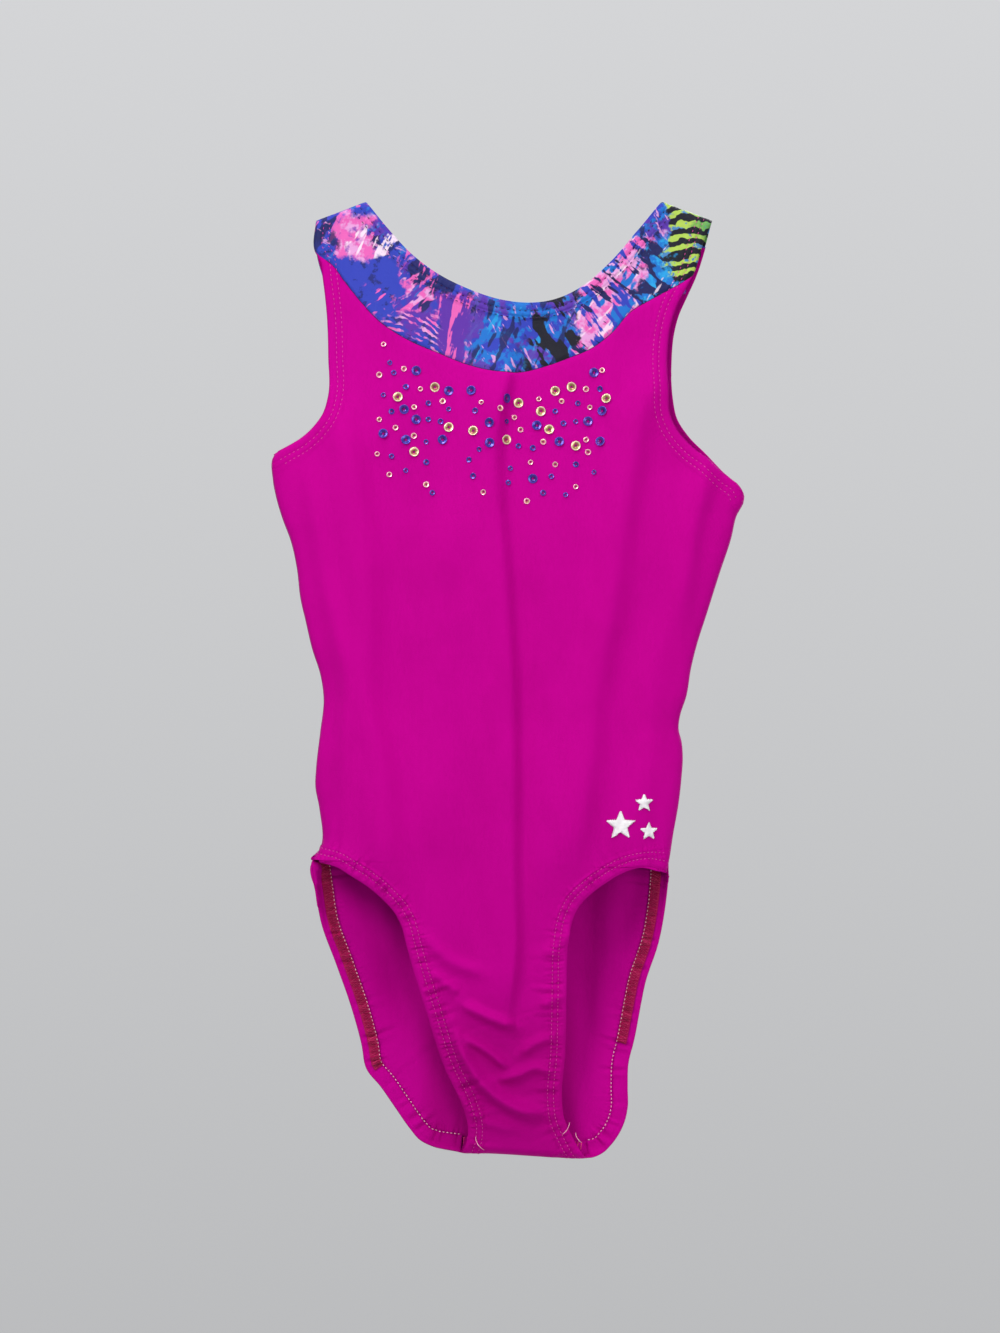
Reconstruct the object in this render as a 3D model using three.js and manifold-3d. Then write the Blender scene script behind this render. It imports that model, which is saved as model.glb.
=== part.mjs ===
// A child's sleeveless gymnastics leotard, hanging by its straps, in millimetres.
// +Z is up, the front faces -Y, and +X is on the right of someone who looks at the front.
// The origin is midway between the two straps, at the height of the hanger's arms.
//
// The garment is built from one draped form. The form is a soft, flattened tube, closed at
// the shoulders and at the crotch. Each layer of cloth is the shell between two insets of it,
// and the neck, arm and leg openings are cut through all the layers.

import * as THREE from "three";
import { mergeVertices } from "three/addons/utils/BufferGeometryUtils.js";
import Module from "manifold-3d";

const wasm = await Module();
wasm.setup();

// ---------------------------------------------------------------- heights, down from the origin
const STRAP_TOP_DROP = 4.4; // outer corner of a strap, where it folds over the hanger
const LEFT_UNDERARM_DROP = 121;
const RIGHT_UNDERARM_DROP = 142; // the garment hangs a little lower on this side
const WAIST_DROP = 248;
const LEG_TOP_DROP = 320;
const BODY_LENGTH = 466;

// ---------------------------------------------------------------- widths, side to side
const CHEST_WIDTH = 232;
const WAIST_WIDTH = 177;
const LEG_TOP_WIDTH = 177;
const CROTCH_WIDTH = 66; // where the front turns under into the back
const GUSSET_WIDTH = 47; // narrowest place between the front leg edges
const NECK_WIDTH = 144;
const STRAP_WIDTH = 25.4;
const SHOULDER_RISE = 9.6; // from a strap's outer corner up to its inner corner
const FULL_SLOPE_DROP = 8; // the shoulder slope fades out from here down

// ---------------------------------------------------------------- depths of the draped form
const STRAP_DEPTH = 11;
const CHEST_DEPTH = 24;
const WAIST_DEPTH = 22;
const SEAT_DEPTH = 24;
const CROTCH_DEPTH = 12;
const STRAP_FOLD_RADIUS = 3.5;
const CROTCH_FOLD_RADIUS = 5;

// ---------------------------------------------------------------- openings and seams
const FRONT_NECK_DEPTH = 50;
const BACK_NECK_DEPTH = 72;
const LEFT_ARM_FRONT_HALF = 89.7; // from the centre line to the deepest point of the armhole
const LEFT_ARM_BACK_HALF = 86.5;
const RIGHT_ARM_FRONT_HALF = 76.6;
const RIGHT_ARM_BACK_HALF = 79.5;
const FRONT_YOKE_END_DROP = 22; // the yoke seam's ends and lowest point
const FRONT_YOKE_DROP = 80;
const BACK_YOKE_END_DROP = 66;
const BACK_YOKE_DROP = 118;
const YOKE_SEAM_HALF = 96;
const SHOULDER_SEAM_DROP = 13; // the shoulder seams lie down the back of the straps
const LINING_RISE = 96; // from the crotch fold up to the top edge of the lining

// ---------------------------------------------------------------- cloth, elastic and trims
const FABRIC_THICKNESS = 0.8;
const ELASTIC_THICKNESS = 0.6;
const TURNING_THICKNESS = 0.6; // the cloth folded in over the elastic
const CLEARANCE = 0.3; // between neighbouring layers and across seams
const HEM_WIDTH = 8;
const ELASTIC_WIDTH = 6;
const LEG_ELASTIC_JOIN = 3; // left free at the crotch fold, where a leg elastic's ends meet
const SEAM_ALLOWANCE = 6;
const LINING_DIP = 6; // how far the lining's top edge dips in the middle
const SEQUIN_DIAMETER = 4.6;
const SEQUIN_HOLE = 1.3;
const SEQUIN_THICKNESS = 0.35;
const SEQUIN_CUP = 0.55;
const STAR_THICKNESS = 0.9;
const STAR_WAIST = 0.45; // a star's inner corners, as a share of its outer points
const LARGE_STAR_DIAMETER = 15;
const SMALL_STAR_DIAMETER = 9.5;

// ---------------------------------------------------------------- derived heights and insets
const strapTop = -STRAP_TOP_DROP;
const neckTop = strapTop + SHOULDER_RISE;
const leftUnderarm = -LEFT_UNDERARM_DROP;
const rightUnderarm = -RIGHT_UNDERARM_DROP;
const waist = -WAIST_DROP;
const legTop = -LEG_TOP_DROP;
const crotch = -BODY_LENGTH;
const underarm = Math.max(leftUnderarm, rightUnderarm);
const chest = Math.min(leftUnderarm, rightUnderarm);

const chestHalf = CHEST_WIDTH / 2;
const waistHalf = WAIST_WIDTH / 2;
const legTopHalf = LEG_TOP_WIDTH / 2;
const crotchHalf = CROTCH_WIDTH / 2;
const gussetHalf = GUSSET_WIDTH / 2;
const neckHalf = NECK_WIDTH / 2;
const strapHalf = neckHalf + STRAP_WIDTH;

const elasticInset = FABRIC_THICKNESS + CLEARANCE;
const elasticInnerInset = elasticInset + ELASTIC_THICKNESS;
const turningInset = elasticInnerInset + CLEARANCE;
const turningInnerInset = turningInset + TURNING_THICKNESS;

const BEYOND = 60; // how far the cutting shapes reach past the garment
const PAST_SIDE = 24; // how far the leg edges run on past the garment's side
const HIP_TURN = 1.5; // how quickly the leg edges turn there, in height
const SHAPE_POWER = 8; // flatness of the form's oval sections
const SECTION_SIDES = 24;

const mix = THREE.MathUtils.lerp;

// A smooth curve through [place, value] stations, as a function of the place.
function through(stations) {
  const sorted = [...stations].sort((a, b) => a[0] - b[0]);
  const slopes = sorted.map((_, i) => {
    const before = sorted[Math.max(i - 1, 0)];
    const after = sorted[Math.min(i + 1, sorted.length - 1)];
    return (after[1] - before[1]) / (after[0] - before[0]);
  });
  return (place) => {
    const last = sorted.length - 1;
    if (place <= sorted[0][0]) return sorted[0][1];
    if (place >= sorted[last][0]) return sorted[last][1];
    const i = sorted.findIndex((station) => station[0] > place) - 1;
    const span = sorted[i + 1][0] - sorted[i][0];
    const t = (place - sorted[i][0]) / span;
    const rise = (1 + 2 * t) * (1 - t) ** 2 * sorted[i][1] + t * t * (3 - 2 * t) * sorted[i + 1][1];
    const lean = t * (1 - t) ** 2 * slopes[i] - t * t * (1 - t) * slopes[i + 1];
    return rise + lean * span;
  };
}

// ---------------------------------------------------------------- the draped form
// Half of the form's width, a little wider than the cloth below the leg openings.
const halfWidth = through([
  [neckTop, chestHalf + 2],
  [underarm, chestHalf],
  [chest, chestHalf],
  [mix(chest, waist, 0.22), mix(chestHalf, waistHalf, 0.3)],
  [mix(chest, waist, 0.55), mix(chestHalf, waistHalf, 0.68)],
  [mix(chest, waist, 0.85), mix(chestHalf, waistHalf, 0.96)],
  [waist, waistHalf],
  [legTop, legTopHalf],
  [mix(legTop, crotch, 0.18), legTopHalf],
  [mix(legTop, crotch, 0.5), mix(legTopHalf, crotchHalf, 0.22)],
  [mix(legTop, crotch, 0.8), mix(legTopHalf, crotchHalf, 0.46)],
  [crotch, mix(legTopHalf, crotchHalf, 0.76)],
]);

// Half of the form's depth, front to back.
const halfDepth = through([
  [strapTop - STRAP_FOLD_RADIUS, STRAP_DEPTH / 2],
  [mix(strapTop, underarm, 0.4), mix(STRAP_DEPTH, CHEST_DEPTH, 0.34) / 2],
  [chest, CHEST_DEPTH / 2],
  [waist, WAIST_DEPTH / 2],
  [legTop, SEAT_DEPTH / 2],
  [mix(legTop, crotch, 0.45), mix(SEAT_DEPTH, CROTCH_DEPTH, 0.4) / 2],
  [crotch + CROTCH_FOLD_RADIUS, CROTCH_DEPTH / 2],
]);

// The garment hangs a little askew: how far its centre line strays to the side.
const sway = through([
  [neckTop, 0],
  [chest, -2.6],
  [waist, -6],
  [legTop, -11.6],
  [mix(legTop, crotch, 0.25), -11.2],
  [mix(legTop, crotch, 0.5), -8.6],
  [mix(legTop, crotch, 0.78), -2.6],
  [crotch, 3],
]);

// The shoulders slope: how far a point of the form is raised above its level.
const SHOULDER_SLOPE = SHOULDER_RISE / STRAP_WIDTH;
const slopeStart = strapTop - FULL_SLOPE_DROP;
const slopeEnd = mix(strapTop, underarm, 0.6);

function shoulderLift(x, level) {
  const share = THREE.MathUtils.smoothstep(level, slopeEnd, slopeStart);
  return share * SHOULDER_SLOPE * (strapHalf - Math.abs(x));
}

// One level of the form, as a height, a half width and a half depth.
function formLevels(inset) {
  const levels = [];
  const foldSteps = 2;
  const strapFlat = STRAP_DEPTH / 2 - STRAP_FOLD_RADIUS;
  const strapRadius = STRAP_FOLD_RADIUS - inset;
  for (let i = 0; i <= foldSteps; i += 1) {
    const turn = (i / foldSteps) * (Math.PI / 2);
    const z = strapTop - inset - strapRadius * (1 - Math.cos(turn));
    levels.push([z, halfWidth(z) - inset, strapFlat + strapRadius * Math.sin(turn)]);
  }
  const stretches = [
    [strapTop - STRAP_FOLD_RADIUS, underarm, 5],
    [underarm, chest, 1],
    [chest, waist, 3],
    [waist, legTop, 2],
    [legTop, crotch + CROTCH_FOLD_RADIUS, 6],
  ];
  for (const [from, to, steps] of stretches) {
    for (let i = 1; i <= steps; i += 1) {
      const z = mix(from, to, i / steps);
      levels.push([z, halfWidth(z) - inset, halfDepth(z) - inset]);
    }
  }
  const crotchFlat = CROTCH_DEPTH / 2 - CROTCH_FOLD_RADIUS;
  const crotchRadius = CROTCH_FOLD_RADIUS - inset;
  for (let i = foldSteps - 1; i >= 0; i -= 1) {
    const turn = (i / foldSteps) * (Math.PI / 2);
    const z = crotch + inset + crotchRadius * (1 - Math.cos(turn));
    levels.push([z, halfWidth(z) - inset, crotchFlat + crotchRadius * Math.sin(turn)]);
  }
  return levels;
}

function ovalPoint(turn, half, depth) {
  const across = Math.cos(turn);
  const along = Math.sin(turn);
  const round = (value) => Math.sign(value) * Math.abs(value) ** (2 / SHAPE_POWER);
  return [half * round(across), depth * round(along)];
}

function toSolid(geometry) {
  geometry.deleteAttribute("normal");
  geometry.deleteAttribute("uv");
  const merged = mergeVertices(geometry, 1e-5);
  const mesh = new wasm.Mesh({
    numProp: 3,
    vertProperties: new Float32Array(merged.attributes.position.array),
    triVerts: new Uint32Array(merged.index.array),
  });
  return new wasm.Manifold(mesh);
}

// The closed form, pulled in by an inset all round.
function form(inset) {
  const levels = formLevels(inset);
  const positions = [];
  const faces = [];
  for (const [level, half, depth] of levels) {
    for (let i = 0; i < SECTION_SIDES; i += 1) {
      const [x, y] = ovalPoint((i / SECTION_SIDES) * 2 * Math.PI, half, depth);
      const z = level + shoulderLift(x, level);
      positions.push(x + sway(z), y, z);
    }
  }
  for (let row = 0; row < levels.length - 1; row += 1) {
    for (let i = 0; i < SECTION_SIDES; i += 1) {
      const next = (i + 1) % SECTION_SIDES;
      const a = row * SECTION_SIDES + i;
      const b = row * SECTION_SIDES + next;
      faces.push(a, a + SECTION_SIDES, b);
      faces.push(b, a + SECTION_SIDES, b + SECTION_SIDES);
    }
  }
  // The flat top is closed across, from its front edge to its back edge, and so is the bottom.
  const bottom = (levels.length - 1) * SECTION_SIDES;
  const halfTurn = SECTION_SIDES / 2;
  for (let i = 0; i < halfTurn; i += 1) {
    const back = i;
    const front = (SECTION_SIDES - i) % SECTION_SIDES;
    const nextBack = i + 1;
    const nextFront = SECTION_SIDES - i - 1;
    if (front !== back) {
      faces.push(front, back, nextFront);
      faces.push(bottom + back, bottom + front, bottom + nextFront);
    }
    if (nextBack !== nextFront) {
      faces.push(back, nextBack, nextFront);
      faces.push(bottom + nextBack, bottom + back, bottom + nextFront);
    }
  }
  const geometry = new THREE.BufferGeometry();
  geometry.setAttribute("position", new THREE.Float32BufferAttribute(positions, 3));
  geometry.setIndex(faces);
  return toSolid(geometry);
}

// ---------------------------------------------------------------- cutting shapes
// A plate with an outline in X and Z that reaches through the garment along Y.
function prism(outline) {
  const shape = new THREE.Shape(outline.map(([x, z]) => new THREE.Vector2(x, z)));
  const geometry = new THREE.ExtrudeGeometry(shape, { depth: 2 * BEYOND, bevelEnabled: false });
  geometry.rotateX(Math.PI / 2);
  geometry.translate(0, BEYOND, 0);
  return toSolid(geometry);
}

function block(lowest, highest) {
  const size = highest.map((value, i) => value - lowest[i]);
  const geometry = new THREE.BoxGeometry(...size);
  geometry.translate(...highest.map((value, i) => (value + lowest[i]) / 2));
  return toSolid(geometry);
}

function smooth(points, count) {
  const curve = new THREE.SplineCurve(points.map(([x, z]) => new THREE.Vector2(x, z)));
  return curve.getPoints(count).map((point) => [point.x + sway(point.y), point.y]);
}

// The edge moved sideways by a distance, to the left of its direction.
function offset(edge, distance) {
  return edge.map(([x, z], i) => {
    const before = edge[Math.max(i - 1, 0)];
    const after = edge[Math.min(i + 1, edge.length - 1)];
    const run = [after[0] - before[0], after[1] - before[1]];
    const length = Math.hypot(...run);
    return [x - (run[1] / length) * distance, z + (run[0] / length) * distance];
  });
}

function band(edge, from, to) {
  return prism([...offset(edge, from), ...offset(edge, to).reverse()]);
}

const widest = chestHalf + BEYOND;
const highest = neckTop + BEYOND;
const lowest = crotch - BEYOND;
const frontHalf = block([-widest, -BEYOND, lowest], [widest, 0, highest]);
const backHalf = block([-widest, 0, lowest], [widest, BEYOND, highest]);

function bothSides(frontShape, backShape) {
  return frontShape.intersect(frontHalf).add(backShape.intersect(backHalf));
}

// Every edge runs so that the cloth is on its left, so an edge on the +X side is reversed.
function onSide(points, side) {
  const placed = points.map(([x, z]) => [side * x, z]);
  return side < 0 ? placed : placed.reverse();
}

function neckEdge(depth) {
  const points = [];
  const steps = 14;
  const reach = 1.18; // the curve goes on above the straps, where nothing is left to cut
  for (let i = 0; i <= steps; i += 1) {
    const across = mix(reach, -reach, i / steps);
    const z = neckTop - depth * (1 - across * across);
    points.push([across * neckHalf + sway(z), z]);
  }
  return points;
}

function armEdge(side, inner, bottom) {
  const place = (share, x) => [x, mix(strapTop, bottom, share)];
  const points = [
    [strapHalf, highest],
    [strapHalf, neckTop],
    place(0.03, strapHalf),
    place(0.13, mix(inner, strapHalf, 0.74)),
    place(0.25, mix(inner, strapHalf, 0.42)),
    place(0.38, mix(inner, strapHalf, 0.1)),
    place(0.53, inner),
    place(0.7, inner),
    place(0.8, mix(inner, chestHalf, 0.13)),
    place(0.87, mix(inner, chestHalf, 0.38)),
    place(0.94, mix(inner, chestHalf, 0.72)),
    place(1, chestHalf),
    [chestHalf + 16, mix(strapTop, bottom, 1.09)],
  ];
  return smooth(onSide(points, side), 18);
}

function frontLegEdge(side) {
  const place = (share, x) => [x, mix(legTop, crotch, share)];
  const reach = (share) => mix(gussetHalf, legTopHalf, share);
  const points = [
    [legTopHalf + PAST_SIDE, legTop - 2 * HIP_TURN],
    place(0, reach(1)),
    place(0.004, reach(0.8)),
    place(0.045, reach(0.6)),
    place(0.107, reach(0.41)),
    place(0.183, reach(0.305)),
    place(0.27, reach(0.25)),
    place(0.486, reach(0.17)),
    place(0.617, reach(0.115)),
    place(0.762, reach(0.045)),
    place(0.87, gussetHalf),
    place(0.93, mix(gussetHalf, crotchHalf, 0.35)),
    place(0.99, crotchHalf),
    place(1.1, crotchHalf + 6),
  ];
  return smooth(onSide(points, side), 22);
}

function backLegEdge(side) {
  const place = (share, x) => [x, mix(legTop, crotch, share)];
  const points = [
    [legTopHalf + PAST_SIDE, legTop + 2 * HIP_TURN],
    [legTopHalf + 5, legTop],
    place(0.1, legTopHalf - 1.5),
    place(0.28, mix(legTopHalf, crotchHalf, 0.13)),
    place(0.48, mix(legTopHalf, crotchHalf, 0.29)),
    place(0.65, mix(legTopHalf, crotchHalf, 0.4)),
    place(0.81, mix(legTopHalf, crotchHalf, 0.55)),
    place(0.94, mix(legTopHalf, crotchHalf, 0.76)),
    place(0.99, crotchHalf),
    place(1.1, crotchHalf - 1),
  ];
  return smooth(onSide(points, side), 18);
}

function yokeSeam(endDrop, middleDrop) {
  const points = [];
  const steps = 12;
  const reach = 1.35;
  for (let i = 0; i <= steps; i += 1) {
    const across = mix(reach, -reach, i / steps);
    const z = mix(-middleDrop, -endDrop, across * across);
    points.push([across * YOKE_SEAM_HALF + sway(z), z]);
  }
  return points;
}

// ---------------------------------------------------------------- the openings
// Each opening has a front edge, a back edge and the corners that close its cutting shape.
const upperCorners = [[-neckHalf * 1.2, highest], [neckHalf * 1.2, highest]];

function sideCorners(side, low, high) {
  const corners = [[side * widest, low], [side * widest, high]];
  return side < 0 ? corners : corners.reverse();
}

const openings = {
  neck: {
    front: neckEdge(FRONT_NECK_DEPTH),
    back: neckEdge(BACK_NECK_DEPTH),
    corners: upperCorners,
  },
  left_arm: {
    front: armEdge(-1, LEFT_ARM_FRONT_HALF, leftUnderarm),
    back: armEdge(-1, LEFT_ARM_BACK_HALF, leftUnderarm),
    corners: sideCorners(-1, leftUnderarm, highest),
  },
  right_arm: {
    front: armEdge(1, RIGHT_ARM_FRONT_HALF, rightUnderarm),
    back: armEdge(1, RIGHT_ARM_BACK_HALF, rightUnderarm),
    corners: sideCorners(1, rightUnderarm, highest),
  },
  left_leg: {
    front: frontLegEdge(-1),
    back: backLegEdge(-1),
    corners: sideCorners(-1, lowest, legTop),
  },
  right_leg: {
    front: frontLegEdge(1),
    back: backLegEdge(1),
    corners: sideCorners(1, lowest, legTop),
  },
};

function openingShape(opening) {
  const front = prism([...opening.front, ...opening.corners]);
  const back = prism([...opening.back, ...opening.corners]);
  return bothSides(front, back);
}

function edgeBand(opening, from, to) {
  return bothSides(band(opening.front, from, to), band(opening.back, from, to));
}

function joined(solids) {
  return solids.reduce((sum, solid) => sum.add(solid));
}

const allOpenings = joined(Object.values(openings).map(openingShape));

function allEdges(from, to) {
  return joined(Object.values(openings).map((opening) => edgeBand(opening, from, to)));
}

// ---------------------------------------------------------------- the cloth
function shell(outerInset, innerInset) {
  return form(outerInset).subtract(form(innerInset));
}

// The hems start a little inside each opening, and the openings are cut last of all.
const HEM_START = -0.5;
const hems = allEdges(HEM_START, HEM_WIDTH);
const foldedEdges = allEdges(HEM_START, FABRIC_THICKNESS);
const cloth = joined([
  shell(0, FABRIC_THICKNESS),
  shell(turningInset, turningInnerInset).intersect(hems),
  shell(0, turningInnerInset).intersect(foldedEdges),
]).subtract(allOpenings);

const halfGap = CLEARANCE / 2;
const frontYokeSeam = yokeSeam(FRONT_YOKE_END_DROP, FRONT_YOKE_DROP);
const backYokeSeam = yokeSeam(BACK_YOKE_END_DROP, BACK_YOKE_DROP);

function shoulderLine(drop) {
  const outer = strapHalf + STRAP_WIDTH;
  const inner = strapHalf - 2 * STRAP_WIDTH;
  const lift = (x) => strapTop - drop + SHOULDER_SLOPE * (strapHalf - x);
  return [[-outer, lift(outer)], [-inner, lift(inner)], [inner, lift(inner)], [outer, lift(outer)]];
}

function aboveShoulderLine(drop) {
  return prism([...shoulderLine(drop), [widest, highest], [-widest, highest]]);
}

function aboveSeam(seam, gap) {
  return prism([...offset(seam, -gap), [-widest, highest], [widest, highest]]);
}

function belowSeam(seam, gap) {
  return prism([...offset(seam, gap), [-widest, lowest], [widest, lowest]]);
}

const frontRegion = block([-widest, -BEYOND, lowest], [widest, -halfGap, highest])
  .add(aboveShoulderLine(SHOULDER_SEAM_DROP - halfGap));
const backRegion = block([-widest, halfGap, lowest], [widest, BEYOND, highest])
  .subtract(aboveShoulderLine(SHOULDER_SEAM_DROP + halfGap));

// ---------------------------------------------------------------- elastics
// Each elastic lies in its hem between the cloth and the turned edge.
const elasticLayer = shell(elasticInset, elasticInnerInset);

function elastic(opening) {
  const strip = edgeBand(opening, elasticInset, elasticInset + ELASTIC_WIDTH);
  return elasticLayer.intersect(strip).subtract(allOpenings);
}

function legElastic(opening) {
  const half = LEG_ELASTIC_JOIN / 2;
  const join = block([-widest, -half, lowest], [widest, half, crotch + HEM_WIDTH * 2]);
  return elastic(opening).subtract(join);
}

// ---------------------------------------------------------------- seams and lining
// The overlocked seam allowances lie inside the cloth, clear of the hems.
const besideHems = elasticLayer
  .subtract(allEdges(HEM_START, HEM_WIDTH + CLEARANCE))
  .subtract(allOpenings);
const halfSeam = SEAM_ALLOWANCE / 2;

function sideSeam(side, top) {
  const inner = waistHalf / 2;
  const [left, right] = side < 0 ? [-widest, -inner] : [inner, widest];
  return besideHems.intersect(block([left, -halfSeam, crotch], [right, halfSeam, top]));
}

function shoulderSeam(side) {
  const [left, right] = side < 0 ? [-widest, 0] : [0, widest];
  const strap = block([left, 0, slopeEnd], [right, BEYOND, highest]);
  const strip = aboveShoulderLine(SHOULDER_SEAM_DROP + halfSeam)
    .subtract(aboveShoulderLine(SHOULDER_SEAM_DROP - halfSeam));
  return besideHems.intersect(strip).intersect(strap);
}

function yokeSeamStrip(seam, half) {
  return besideHems.intersect(band(seam, -halfSeam, halfSeam)).intersect(half);
}

const crotchSeamShape = block(
  [-crotchHalf, -halfSeam, lowest],
  [crotchHalf, halfSeam, crotch + SEAM_ALLOWANCE],
);
const crotchSeam = besideHems.intersect(crotchSeamShape);

// The lining covers the gusset from the crotch seam upwards, and its top edge dips in the middle.
function liningShape() {
  const top = crotch + LINING_RISE;
  const corner = top + LINING_DIP;
  const between = top + LINING_DIP / 2;
  const points = [
    [legTopHalf, corner],
    [gussetHalf, between],
    [0, top],
    [-gussetHalf, between],
    [-legTopHalf, corner],
  ];
  return prism([...smooth(points, 8), [-widest, lowest], [widest, lowest]]);
}

const liningFront = block([-widest, -BEYOND, lowest], [widest, -halfSeam - CLEARANCE, highest]);
const lining = besideHems.intersect(liningShape()).intersect(liningFront);

// ---------------------------------------------------------------- sequins and stars
// The front of the form at a place, and a turn that lays a flat piece on it.
function onFront(x, z, lift) {
  const surface = (atX, atZ) => {
    const across = Math.abs(atX - sway(atZ)) / halfWidth(atZ);
    return -halfDepth(atZ) * (1 - across ** SHAPE_POWER) ** (1 / SHAPE_POWER);
  };
  const step = 1;
  const alongX = (surface(x + step, z) - surface(x - step, z)) / (2 * step);
  const alongZ = (surface(x, z + step) - surface(x, z - step)) / (2 * step);
  const outward = new THREE.Vector3(alongX, -1, alongZ).normalize();
  const place = new THREE.Vector3(x, surface(x, z), z).addScaledVector(outward, lift);
  const turn = new THREE.Quaternion().setFromUnitVectors(new THREE.Vector3(0, 0, 1), outward);
  return { place, turn };
}

// A cupped disc with a hole, open side up, as a closed ring profile turned about its axis.
function sequinGeometry() {
  const rim = SEQUIN_DIAMETER / 2;
  const hole = SEQUIN_HOLE / 2;
  const profile = [
    [hole, 0],
    [rim, SEQUIN_CUP],
    [rim, SEQUIN_CUP + SEQUIN_THICKNESS],
    [hole, SEQUIN_THICKNESS],
    [hole, 0],
  ];
  const geometry = new THREE.LatheGeometry(profile.map(([r, h]) => new THREE.Vector2(r, h)), 8);
  geometry.rotateX(Math.PI / 2);
  return geometry;
}

function starGeometry(diameter) {
  const points = [];
  const outer = diameter / 2;
  const inner = outer * STAR_WAIST;
  for (let i = 0; i < 10; i += 1) {
    const turn = (i / 10) * 2 * Math.PI + Math.PI / 2;
    const radius = i % 2 === 0 ? outer : inner;
    points.push(new THREE.Vector2(radius * Math.cos(turn), radius * Math.sin(turn)));
  }
  const star = new THREE.Shape(points);
  return new THREE.ExtrudeGeometry(star, { depth: STAR_THICKNESS, bevelEnabled: false });
}

// The large sequins' places on the chest: X, and the drop below the yoke seam's lowest point.
const GOLD_SEQUINS = [
  [-57, 12], [-39, 7], [2, 15], [20, 9], [28, 7], [13, 19], [17, 28], [-20, 29],
  [-49, 39], [-4, 33], [-32, 27], [45, 13], [30, 36],
];
const BLUE_SEQUINS = [
  [-48, -1], [-54, 18], [-48, 23], [-64, 30], [-53, 33], [-35, 33], [-21, 9], [-32, 9],
  [-4, 13], [11, 26], [22, 34], [39, 0], [43, 19], [36, 24], [42, 34], [9, 52],
  [-12, 25], [-12, 35],
];

// The embroidered stars on the hip: distance in from the side edge, rise above the top of the
// leg opening, and size.
const STARS = {
  large_star: [26.5, 19, LARGE_STAR_DIAMETER],
  upper_star: [16, 30, SMALL_STAR_DIAMETER],
  lower_star: [12.5, 16, SMALL_STAR_DIAMETER],
};

// ---------------------------------------------------------------- the assembled garment
const MAGENTA = { color: 0xb80090, roughness: 0.55, metalness: 0 };
const PRINT = { color: 0x2340b8, roughness: 0.55, metalness: 0 };
const ELASTIC = { color: 0xb01050, roughness: 0.8, metalness: 0 };
const LINING = { color: 0xa8007c, roughness: 0.8, metalness: 0 };
const THREAD = { color: 0x9a0a70, roughness: 0.7, metalness: 0 };
const GOLD = { color: 0xe6dca0, roughness: 0.18, metalness: 0.9 };
const BLUE = { color: 0x2c10b0, roughness: 0.18, metalness: 0.9 };
const WHITE_THREAD = { color: 0xe8dfe6, roughness: 0.5, metalness: 0 };

const leotard = new THREE.Group();

function add(name, geometry, finish) {
  const mesh = new THREE.Mesh(geometry, new THREE.MeshStandardMaterial(finish));
  mesh.name = name;
  leotard.add(mesh);
  return mesh;
}

function addSolid(name, solid, finish) {
  const { vertProperties, triVerts } = solid.getMesh();
  const geometry = new THREE.BufferGeometry();
  geometry.setAttribute("position", new THREE.BufferAttribute(vertProperties, 3));
  geometry.setIndex(new THREE.BufferAttribute(triVerts, 1));
  return add(name, geometry, finish);
}

function addOnFront(name, geometry, finish, [x, z]) {
  const mesh = add(name, geometry, finish);
  const { place, turn } = onFront(x, z, CLEARANCE);
  mesh.position.copy(place);
  mesh.quaternion.copy(turn);
  return mesh;
}

const frontCloth = cloth.intersect(frontRegion);
const backCloth = cloth.intersect(backRegion);
addSolid("front_body_panel", frontCloth.intersect(belowSeam(frontYokeSeam, halfGap)), MAGENTA);
addSolid("back_body_panel", backCloth.intersect(belowSeam(backYokeSeam, halfGap)), MAGENTA);
addSolid("front_yoke", frontCloth.intersect(aboveSeam(frontYokeSeam, halfGap)), PRINT);
addSolid("back_yoke", backCloth.intersect(aboveSeam(backYokeSeam, halfGap)), PRINT);

addSolid("neck_elastic", elastic(openings.neck), ELASTIC);
addSolid("left_arm_elastic", elastic(openings.left_arm), ELASTIC);
addSolid("right_arm_elastic", elastic(openings.right_arm), ELASTIC);
addSolid("left_leg_elastic", legElastic(openings.left_leg), ELASTIC);
addSolid("right_leg_elastic", legElastic(openings.right_leg), ELASTIC);

addSolid("left_side_seam", sideSeam(-1, leftUnderarm), THREAD);
addSolid("right_side_seam", sideSeam(1, rightUnderarm), THREAD);
addSolid("left_shoulder_seam", shoulderSeam(-1), THREAD);
addSolid("right_shoulder_seam", shoulderSeam(1), THREAD);
addSolid("front_yoke_seam", yokeSeamStrip(frontYokeSeam, liningFront), THREAD);
addSolid("back_yoke_seam", yokeSeamStrip(backYokeSeam, backHalf), THREAD);
addSolid("crotch_seam", crotchSeam, THREAD);
addSolid("crotch_lining", lining, LINING);

const sequin = sequinGeometry();
GOLD_SEQUINS.forEach(([x, drop], i) => {
  addOnFront(`gold_sequin_${i + 1}`, sequin, GOLD, [x, -FRONT_YOKE_DROP - drop]);
});
BLUE_SEQUINS.forEach(([x, drop], i) => {
  addOnFront(`blue_sequin_${i + 1}`, sequin, BLUE, [x, -FRONT_YOKE_DROP - drop]);
});
for (const [name, [distanceIn, rise, diameter]] of Object.entries(STARS)) {
  const z = legTop + rise;
  const x = sway(z) + halfWidth(z) - distanceIn;
  addOnFront(name, starGeometry(diameter), WHITE_THREAD, [x, z]);
}

export default leotard;
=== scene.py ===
import math

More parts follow.
